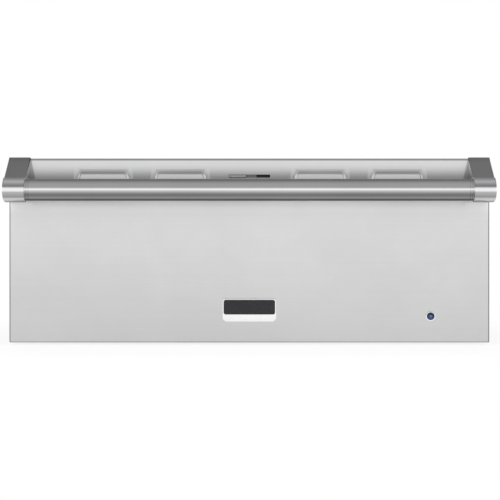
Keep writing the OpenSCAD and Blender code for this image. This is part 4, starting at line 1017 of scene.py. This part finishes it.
# ---------- moisture slide
# A flat sheet-steel shutter slides in a folded guide behind the louvres. The hand moves it by a
# die-cast tab in the slot. The tab is satin plated, rounded, and has finger grooves on its front.
rolled = grained("bare_steel", 0.46, 0.60, 0.36, "y", spread=0.08, stretch=0.3)
# The guide and the shutter are coloured far darker than bare steel: painted shade, where they lie
# behind the slot.
guide_shaded = plated("blackened_steel", 0.025, 0.06, 0.45)
eased("vent_guide", guide_shaded, "bare_steel", 0.15, 0.9)
shutter_steel = grained("shutter_steel", 0.14, 0.22, 0.4, "x", spread=0.06, stretch=0.3)
eased("vent_shutter", shutter_steel, "bare_steel", 0.15)


def tab_shade(metal):
    """Painted shade along the tab's upper edge."""
    return 1 - metal.along("Z").between(slot_high - 2 * mm, slot_high - 1.6 * mm) * 0.55


def circle(r, n):
    return [(r * math.cos(a), r * math.sin(a)) for a in np.linspace(0, 2 * math.pi, n, False)]


satin = grained("vent_tab_plated", 0.46, 0.60, 0.3, "x", spread=0.08, shade=tab_shade)
tab = lofted("vent_tab_cast", plate_rings(
    tab_mid, tab_half.x, tab_half.z, [1.1] * 4, tab_low.y,
    [(0, (tab_high.y - tab_low.y) / mm), (0, (face_y - tab_low.y) / mm - 0.4), (0, 0.9),
     (0.12, 0.4), (0.4, 0.1), (0.8, 0)]), satin)
finger_grooves = [lofted("groove", [[(tab_mid.x + x + u, tab_low.y - 0.15 * mm + v, tab_mid.z + end)
                                     for u, v in circle(0.55 * mm, 12)]
                                    for end in (-3 * mm, 3 * mm)], satin)
                  for x in spread(5, 3.4 * mm)]
pin_r, pin_l, pin_deep, pin_x = 1.1 * mm, 4 * mm, 2.8 * mm, 6 * mm
pins = [revolved("pin", [(0, 0), (pin_r, 0), (pin_r, pin_l), (0, pin_l)],
                 (tab_mid.x + x, tab_high.y - pin_deep, tab_mid.z), (0, 1, 0), satin, 20)
        for x in (-pin_x, pin_x)]
bore(tab, finger_grooves + pins)
fit(settle(tab, 32), "vent_slider", "badge_metal", "vent_tab")

# ---------- back of the drawer front
# A folded panel closes the drawer front, with a row of steam inlets that lead the moisture to the
# louvres. A mineral wool pad fills the lower part, and a hollow silicone gasket seals the rest.
inner_panel_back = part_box("inner_panel")[1].y


def sooted(steel):
    """Painted shade: the face behind the slot is darkened, so that nothing glints through it."""
    behind = steel.along("Y").between(inner_panel_back - 0.9 * mm, inner_panel_back - 0.4 * mm)
    return 0.14 + behind * 0.86


plain_stainless, slot_shaded_stainless = (
    grained(name, 0.60, 0.74, 0.34, "x", turn=0.25, stretch=0.5, shade=shade)
    for name, shade in (("inner_stainless", None), ("inner_panel_steel", sooted)))
eased("inner_panel", slot_shaded_stainless, "brushed_stainless", 0.2, 1.2)

wool = Finish("mineral_wool")
fibres = wool.noise((260, 1500, 1500), 4, 0.65).math("MAXIMUM",
                                                     wool.noise((1500, 300, 700), 4, 0.65))
binder = wool.noise(30, 3)
wool_colour = wool.tones((fibres * 1.6 + binder * 0.5 - 0.55).between(0, 1),
                         (0.30, 0.24, 0.13), (0.72, 0.64, 0.44))
wool.dress(wool_colour, binder * 0.1 + 0.85, fibres, 0.8, 0.8)


def wool_board(node, voxel):
    """Stands a fibrous board with soft edges in for a node: its faces swell and sink a little."""
    piece = outward(copied(node, "_wool", wool))
    mesher = piece.modifiers.new("mesher", "REMESH")
    mesher.mode = "VOXEL"
    mesher.voxel_size = voxel * mm
    settle(piece, 180)
    normals = [tuple(v.normal) for v in piece.data.vertices]
    for vertex, normal in zip(piece.data.vertices, normals):
        swell = noise.noise(vertex.co * 22) * 0.5 + noise.noise(vertex.co * 90) * 0.5
        vertex.co -= Vector(normal) * (0.7 + 0.6 * swell) * mm
    piece.data.update()
    fit(piece, frame["nodes"][node]["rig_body"], "mineral_wool", node)


wool_board("front_insulation", 4.5)


def swept(name, path, closed, profile, finish, standing="Z_UP"):
    """Runs a closed flat profile along a path with Geometry Nodes, as a gasket or tube is drawn."""

    def build(nodes, taken):
        line = nodes.add("GeometryNodeMeshToCurve", {0: taken["Path"]})
        line = nodes.add("GeometryNodeSetCurveNormal", {0: line}, mode=standing)
        shape = nodes.add("GeometryNodeObjectInfo", {"Object": taken["Profile"]}, "Geometry")
        shape = nodes.add("GeometryNodeMeshToCurve", {0: shape})
        return nodes.add("GeometryNodeCurveToMesh", {0: line, 1: shape, "Fill Caps": True})

    def wire(label, places, ring):
        n = len(places)
        return new_piece(label, places, [], finish,
                         [(k, (k + 1) % n) for k in range(n if ring else n - 1)])

    piece = wire(name, path, closed)
    section = wire(name + "_profile", [(x, y, 0) for x, y in profile], True)
    grow(piece, growing(name + "_sweep", {"Path": "Geometry", "Profile": "Object"}, build),
         {"Profile": section, "Skin": finish.material}, 50)
    bpy.data.objects.remove(section)
    return outward(piece)


# The profile: a thin foot against the panel and a bulb that meets the front frame.
silicone = moulded("seal_rubber", (0.035, 0.035, 0.036), (0.07, 0.07, 0.07), 0.6, 900, 0.05)
seal_low, seal_high, seal_mid, seal_half = extent("door_seal")
seal_w, seal_r, foot, foot_break, bulb_half = 8 * mm, 14 * mm, 0.8 * mm, 0.15 * mm, 2.6 * mm
bulb_out = seal_high.y - seal_low.y - foot
right = [(seal_w / 2 - foot_break, 0), (seal_w / 2, foot_break), (seal_w / 2, foot - foot_break),
         (seal_w / 2 - foot_break, foot)]
right += [(u, foot + bulb_out * v) for u, v in quarter(bulb_half, [4, 20, 38, 58, 76, 90], 0.8)]
mirrored_half = [(-x, y) for x, y in reversed(right[:-1])]
seal_profile = mirrored_half[-2:] + right + mirrored_half[:-2]
seal_path = round_ring(seal_half.x - seal_w / 2, seal_half.z - seal_w / 2, [seal_r] * 4, 10)
seal = swept("door_seal_hollow", [(x, y, 0) for x, y in seal_path], True, seal_profile, silicone)
seal.data.transform(Matrix(((1, 0, 0, seal_mid.x), (0, 0, -1, seal_low.y), (0, 1, 0, seal_mid.z),
                            (0, 0, 0, 1))))
fit(settle(outward(seal), 50), "drawer", "seal_rubber", "door_seal")

# ---------- drawer box
# The box is folded from coated sheet steel. Its floor has rows of heat holes over the element, and
# a rubber grommet takes the lead through its back.
box_steel = grained("box_steel", 0.50, 0.66, 0.34, "y", spread=0.08, stretch=0.3)
eased("drawer_box", box_steel, "bare_steel", 0.25, 1.2)
eased("drawer_grommet", silicone, "seal_rubber", 0.5)

# ---------- food pan
# The pan is deep drawn from stainless sheet: large corners, a round bottom edge, a stiffened floor,
# and a flat rim with its edge turned down, by which it hangs on the drawer box.
pan_low, pan_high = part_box("food_pan")
pan_t, lip, rim_corner, pan_corner = 1.2 * mm, 2.4 * mm, 8 * mm, 26 * mm
wall_x = pan_high.x - 9.2 * mm
hollow_front, hollow_back = pan_low.y + 11.7 * mm, pan_high.y - 10.2 * mm


def pan_ring(grow, z, corner_r, rim_share):
    """A ring of the pan: rim_share 1 is the rim's outline, 0 the wall's; grow moves it out."""
    half_x = wall_x + (pan_high.x - wall_x) * rim_share + grow
    y0 = hollow_front + (pan_low.y - hollow_front) * rim_share - grow
    y1 = hollow_back + (pan_high.y - hollow_back) * rim_share + grow
    flat = round_ring(half_x, (y1 - y0) / 2, [corner_r] * 4, 10, y=(y0 + y1) / 2)
    return [(x, y, z) for x, y in flat]


mouth_r, heel_r, draft = 2.6 * mm, 9 * mm, 2.2 * mm
inner_top, inner_floor = pan_high.z, pan_low.z + pan_t
rim_z, mouth_low = inner_top - pan_t, inner_top - mouth_r
rings = [pan_ring(0, rim_z - lip, rim_corner, 1), pan_ring(0, rim_z - 0.2 * mm, rim_corner, 1),
         pan_ring(-0.25 * mm, rim_z + pan_t * 0.6, rim_corner, 1),
         pan_ring(-0.9 * mm, inner_top, rim_corner, 1)]
for a in np.radians([0, 22, 45, 68, 90]):
    in_by = mouth_r * (1 - math.sin(a))
    rings.append(pan_ring(in_by - pan_t, inner_top - mouth_r * (1 - math.cos(a)),
                          pan_corner - pan_t + in_by, 0))
for share in (0.3, 0.6, 0.9):
    rings.append(pan_ring(-pan_t - draft * share,
                          mouth_low - (mouth_low - inner_floor - heel_r) * share,
                          pan_corner - pan_t, 0))
for a in np.radians([0, 18, 36, 54, 72, 90]):
    in_by = heel_r * (1 - math.cos(a))
    rings.append(pan_ring(-pan_t - draft - in_by, inner_floor + heel_r * (1 - math.sin(a)),
                          max(pan_corner - in_by, 12 * mm), 0))
for inset, rise in ((30, 0), (33, 0.5), (36, 1.4), (39, 1.8), (60, 1.8), (63, 1.4), (66, 0.5),
                    (69, 0.1)):
    rings.append(pan_ring(-inset * mm, inner_floor + rise * mm,
                          max(pan_corner - inset * 0.2 * mm, 8 * mm), 0))
drawn = grained("pan_steel", 0.60, 0.76, 0.26, "y", spread=0.1, grain=0.4, stretch=0.35)
pan = lofted("food_pan_drawn", rings, drawn, (False, True))
if sum(polygon.normal.z * polygon.area for polygon in pan.data.polygons) < 0:
    pan.data.flip_normals()
thickened(pan, pan_t)
fit(settle(pan, 40), "drawer", "pan_steel", "food_pan")

# ---------- control ledge and thermostat
# A stainless ledge behind the front carries the thermostat. A dial is printed on it round the
# knob: ticks and plain numbers, from 0 at the front on round by 270 degrees.
eased("control_ledge", plain_stainless, "brushed_stainless", 0.2, 1.0)
cadmium = plated("thermostat_metal", (0.52, 0.50, 0.42), (0.74, 0.72, 0.62), 0.34)
eased("thermostat", cadmium, "thermostat_metal", 0.3, 1.0)
eased("thermostat_nut", screw_zinc, "screw_steel", 0.25)
eased("thermostat_shaft", screw_zinc, "screw_steel", 0.3)

_, knob_high, knob_at, knob_half = extent("control_knob")
skirt_r = knob_half.x
knob_at.y = knob_high.y - skirt_r
knob_at.z -= knob_half.z
print_t = 0.06 * mm
print_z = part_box("control_ledge")[1].z + print_t / 2
tick_in, tick_out, number_at = skirt_r + 0.9 * mm, skirt_r + 2.3 * mm, skirt_r + 4.1 * mm
print_ink = moulded("dial_print", (0.02, 0.02, 0.02), (0.05, 0.05, 0.05), 0.5)


def tick_bars(nodes, taken):
    """Lays a small bar on each point, along the way it carries."""
    size = nodes.add("ShaderNodeCombineXYZ", {"X": taken["Length"], "Y": taken["Width"],
                                              "Z": taken["Thickness"]})
    bar = nodes.add("GeometryNodeMeshCube", {"Size": size})
    return on_points(nodes, taken["Points"], bar, "X")


def dial_way(turn):
    """The direction from the knob's axis at a turn of the knob, in degrees from the front."""
    return Vector((-math.sin(math.radians(turn)), -math.cos(math.radians(turn)), 0))


def dial_spot(turn, away):
    """A point of the print, at a turn of the knob and that far from its axis."""
    way = dial_way(turn)
    return knob_at.x + way.x * away, knob_at.y + way.y * away, print_z


tick_sizes = {"Length": tick_out - tick_in, "Width": 0.45 * mm, "Thickness": print_t}
tick_tree = growing("dial_ticks", {"Points": "Geometry", **dict.fromkeys(tick_sizes, "Float")},
                    tick_bars)
tick_places = [(dial_spot(turn, (tick_in + tick_out) / 2), dial_way(turn))
               for turn in range(0, 271, 15)]
ticks = grown("dial_print", tick_tree, tick_places, tick_sizes, print_ink)
dial = bmesh.new()
dial.from_mesh(ticks.data)
for number in range(10):
    label = bpy.data.curves.new("number", "FONT")
    label.body = str(number)
    label.size = 3.6 * mm
    label.align_x = label.align_y = "CENTER"
    label.extrude = print_t / 2
    holder = bpy.data.objects.new("number", label)
    scene.collection.objects.link(holder)
    figure = evaluated(holder)
    figure.transform(Matrix.Translation(dial_spot(number * 30, number_at)))
    dial.from_mesh(figure)
    bpy.data.objects.remove(holder)
dial.to_mesh(ticks.data)
dial.free()
for polygon in ticks.data.polygons:
    polygon.material_index = 0
fit(settle(outward(ticks), 30), "drawer", "badge_enamel")

# ---------- control knob
# A black phenolic knob: a low skirt, a fluted grip with a dished top, and a pointer ridge with a
# white line let into it. Its underside is hollow over the nut, and its bore has a flat.
phenolic = moulded("knob_plastic", (0.018, 0.018, 0.019), (0.045, 0.045, 0.047), 0.38, 1600, 0.02)
grip_r, flute_n, flute_deep = skirt_r - 5.3 * mm, 20, 0.7 * mm
steps_round = flute_n * 8
skirt, grip = skirt_r / mm, grip_r / mm
# Radius and height in millimetres, and the share of the flutes' depth there.
knob_profile = [(0, 0, 0), (skirt - 0.4, 0, 0), (skirt, 0.4, 0), (skirt, 1.7, 0),
                (skirt - 0.5, 2.4, 0), (grip + 1.2, 3, 0), (grip + 0.4, 3.3, 0.2), (grip, 4, 0.8),
                (grip, 6, 1), (grip - 0.15, 9, 1), (grip - 0.3, 11.6, 1), (grip - 0.5, 13, 0.7),
                (grip - 0.9, 13.9, 0.3), (grip - 1.7, 14.4, 0), (grip - 2.8, 14.5, 0),
                (grip - 3.8, 14.2, 0), (grip - 6, 13.9, 0), (0, 13.8, 0)]
knob_rings = []
for r, h, fluted in knob_profile:
    ring = []
    for turn in (2 * math.pi * k / steps_round for k in range(steps_round)):
        out = r * mm - (0.5 - 0.5 * math.cos(turn * flute_n)) ** 2 * flute_deep * fluted
        ring.append((knob_at.x + out * math.sin(turn), knob_at.y - out * math.cos(turn),
                     knob_at.z + h * mm))
    knob_rings.append(ring)
knob = lofted("control_knob_fluted", knob_rings, phenolic, (False, False))
ridge_half, ridge_tip, ridge_top = 1.5 * mm, skirt_r - 1 * mm, knob_high.z
ridge_foot = knob_at.z + 2 * mm
ridge_rings = []
for inset, z in ((0, ridge_foot), (0, knob_at.z + 12 * mm), (0.1 * mm, ridge_top - 0.6 * mm),
                 (0.3 * mm, ridge_top - 0.2 * mm), (0.7 * mm, ridge_top)):
    reach = (ridge_tip - 3.2 * mm * max(0, (z - ridge_foot) / (ridge_top - knob_at.z))) / 2
    flat = round_ring(ridge_half - inset, reach - inset, [1.2 * mm] * 4, 5)
    ridge_rings.append([(knob_at.x + x, knob_at.y - reach + y, z) for x, y in flat])
ridge = lofted("ridge", ridge_rings, phenolic)
hollow_r, hollow_low, hollow_high = grip_r - 3 * mm, -1 * mm, 5.9 * mm
hollow_profile = [(0, hollow_low), (hollow_r, hollow_low), (hollow_r, hollow_high),
                  (0, hollow_high)]
hollow = revolved("hollow", hollow_profile, knob_at, (0, 0, 1), phenolic, 48)
_, shaft_high, _, shaft_half = extent("thermostat_shaft")
shaft_r = shaft_half.x + 0.1 * mm
bore_rings = [[(knob_at.x + x, knob_at.y + min(y, shaft_r / 2), z)
               for x, y in circle(shaft_r, 40)]
              for z in (knob_at.z + 4 * mm, shaft_high.z + 0.1 * mm)]
shaft_bore = lofted("shaft_bore", bore_rings, phenolic)


def line_ring(inset, z):
    """A ring of the pointer's line or of its groove, inset in millimetres."""
    flat = round_ring((0.45 - inset) * mm, ridge_tip * 0.34 - inset * mm, [0.4 * mm] * 4, 4)
    return [(knob_at.x + x, knob_at.y - ridge_tip * 0.52 + y, z) for x, y in flat]


line_low = ridge_top - 0.25 * mm
bore(ridge, [lofted("line_groove", [line_ring(0, line_low), line_ring(0, ridge_top + 1 * mm)],
                    phenolic)])
bore(knob, [ridge], "UNION")
bore(knob, [hollow, shaft_bore])
fit(settle(knob, 30), "temperature_knob", "knob_plastic", "control_knob")
line_white = moulded("pointer_white", (0.78, 0.78, 0.76), (0.88, 0.88, 0.86), 0.5)
pointer = lofted("knob_pointer_line", [
    line_ring(0.02, line_low), line_ring(0.02, ridge_top - 0.07 * mm),
    line_ring(0.12, ridge_top - 0.03 * mm)], line_white)
fit(settle(pointer, 30), "temperature_knob", "knob_plastic")

# ---------- thermostat bulb
# A drawn copper bulb with a crimped neck lies in front of the pan in two spring clips. Its
# capillary, a fine copper tube, runs in soft bends through the wall to the thermostat.
copper = grained("copper", (0.62, 0.30, 0.18), (0.86, 0.50, 0.34), 0.3, "x", spread=0.1)
bulb_low, bulb_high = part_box("thermostat_bulb")
capillary_r, bulb_r, bulb_l, bulb_round = 0.8 * mm, 3 * mm, 90 * mm, 2.5 * mm
capillary_x, run_y = bulb_low.x + capillary_r, bulb_low.y + capillary_r
top_run = bulb_high.z - capillary_r
bulb_at = Vector((capillary_x + 12 * mm, bulb_high.y - bulb_r, bulb_low.z + bulb_r))


def bent(places, r, steps=8):
    """A path through places with its corners rounded by r."""
    path = [Vector(places[0])]
    for before, here, after in zip(places, places[1:], places[2:]):
        here = Vector(here)
        to, on = (here - Vector(before)).normalized(), (Vector(after) - here).normalized()
        middle = here - to * r + on * r
        path += [middle + (-on * math.cos(a) + to * math.sin(a)) * r
                 for a in np.linspace(0, math.pi / 2, steps + 1)]
    return path + [Vector(places[-1])]


neck = [(0, 0), (1.3, 0), (1.5, 0.4), (1.5, 3), (1.9, 4.2), (2.7, 5.6)]
bulb_profile = [(r * mm, d * mm) for r, d in neck]
bulb_profile += [(bulb_r, 7 * mm), (bulb_r, bulb_l - bulb_round)]
bulb_profile += [(u, bulb_l - bulb_round + bulb_round * v)
                 for u, v in quarter(bulb_r, [25, 50, 70, 90])]
bulb = revolved("thermostat_bulb_drawn", bulb_profile, bulb_at, (1, 0, 0), copper, 40)
run = [bulb_at + Vector((0.6 * mm, 0, 0)), (capillary_x, bulb_at.y, bulb_at.z),
       (capillary_x, run_y, bulb_at.z), (capillary_x, run_y, top_run),
       (bulb_high.x, run_y, top_run)]
capillary = swept("capillary", bent(run, 5 * mm), False, circle(capillary_r, 12), copper,
                  "MINIMUM_TWIST")
bore(bulb, [capillary], "UNION")
fit(settle(bulb, 40), "drawer", "copper", "thermostat_bulb")
eased("bulb_clips", rolled, "bare_steel", 0.3, 1.0, 4)

# ---------- slides
# Each side has a telescopic slide of three zinc-plated channels. Brass-plated cages hold the
# rows of hardened balls between their flanges.
zinc = plated("slide_zinc", (0.56, 0.58, 0.62), (0.76, 0.78, 0.82), 0.3)
brass = plated("cage_brass", (0.55, 0.40, 0.16), (0.78, 0.60, 0.28), 0.3)
hard_steel = plated("ball_steel", (0.62, 0.62, 0.63), (0.80, 0.80, 0.81), 0.12)
for side in ("left", "right"):
    for member in ("outer", "middle", "inner"):
        eased(f"slide_{member}_{side}", zinc, "slide_zinc", 0.2, 1.0, 3)
    for row in ("outer", "inner"):
        eased(f"{row}_cage_{side}", brass, "cage_brass", 0.12, 0.5, 2)
dressed(hard_steel, "outer_balls", "inner_balls")

# ---------- case
# The case is folded from galvanised sheet, with its spangle, over a coated front frame and a
# heated liner. Its base is a shallow pan on two folded skids, and its back has vent slots.
galvanised = Finish("galvanised", Metallic=1.0)
crystals, small = (galvanised.add("ShaderNodeTexVoronoi", {"Vector": galvanised.place,
                                                           "Scale": per_metre}, "Color")
                   for per_metre in (95, 240))
bloom = galvanised.noise(14, 4)
galvanised.dress(galvanised.tones(crystals * 0.55 + small * 0.2 + bloom * 0.25,
                                  (0.44, 0.46, 0.48), (0.68, 0.70, 0.73)),
                 crystals * 0.12 + bloom * 0.14 + 0.26, galvanised.noise(420), 0.05, 0.35)
frame_steel = grained("frame_steel", 0.54, 0.68, 0.34, "x", spread=0.08, turn=0.25, stretch=0.3)
eased("front_frame", frame_steel, "bare_steel", 0.25)
eased("outer_wrap", galvanised, "galvanised", 0.2, 1.2, 8)
eased("base_pan", galvanised, "galvanised", 0.2, 0.9, 8)
eased("base_skids", galvanised, "galvanised", 0.3, 1.5, 4)
eased("back_cover", galvanised, "galvanised", 0.2)
eased("liner_grommet", silicone, "seal_rubber", 0.5)
_, element_high, element_mid, _ = extent("heating_element")


def heat_tint(steel):
    """Darker low over the element, where the liner runs hot."""
    return 1 - (1 - steel.along("Z").between(element_mid.z, element_mid.z + 70 * mm)) * 0.3


liner_steel = grained("liner_steel", (0.52, 0.51, 0.48), (0.68, 0.67, 0.64), 0.36, "y", spread=0.08,
                      stretch=0.3, shade=heat_tint)
eased("heated_liner", liner_steel, "bare_steel", 0.2, 0.9, 8)
wool_board("insulation_pads", 8)

# ---------- heating element
# A sheathed rod, oxidised brown-black where it glows and bright at its cold ends, is carried by
# steel posts and passes out through ceramic bushes. A safety cut-out sits on the liner's back.
sheath = Finish("rod_incoloy", Metallic=0.85)
scale = sheath.noise(160, 5)
heated = (sheath.along("Y") * -1).between(60 * mm - element_high.y, 90 * mm - element_high.y)
hot = sheath.tones(scale, (0.045, 0.038, 0.034), (0.13, 0.105, 0.085))
sheath.dress(sheath.mixed(heated, (0.42, 0.40, 0.37, 1), hot), scale * 0.2 + 0.42, scale, 0.05)
dressed(sheath, "heating_element")
eased("element_clips", rolled, "bare_steel", 0.2, 0.8, 4)
steatite = moulded("ceramic", (0.66, 0.62, 0.54), (0.80, 0.77, 0.70), 0.42, 700, 0.04)
eased("element_bushes", steatite, "ceramic", 0.4)
nylon = moulded("black_nylon", (0.020, 0.020, 0.021), (0.05, 0.05, 0.052), 0.5, 1200, 0.03)
eased("limit_thermostat", nylon, "black_nylon", 0.3)

# ---------- terminal box
# A pressed galvanised cover, screwed on by two lugs, shields the ceramic terminal block. The
# mains cord enters from below through a black nylon gland; the cord itself isn't shown.
eased("terminal_box", galvanised, "galvanised", 0.25, 1.6, 4)
eased("terminal_block", steatite, "ceramic", 0.5)
eased("cord_gland", nylon, "black_nylon", 0.4)
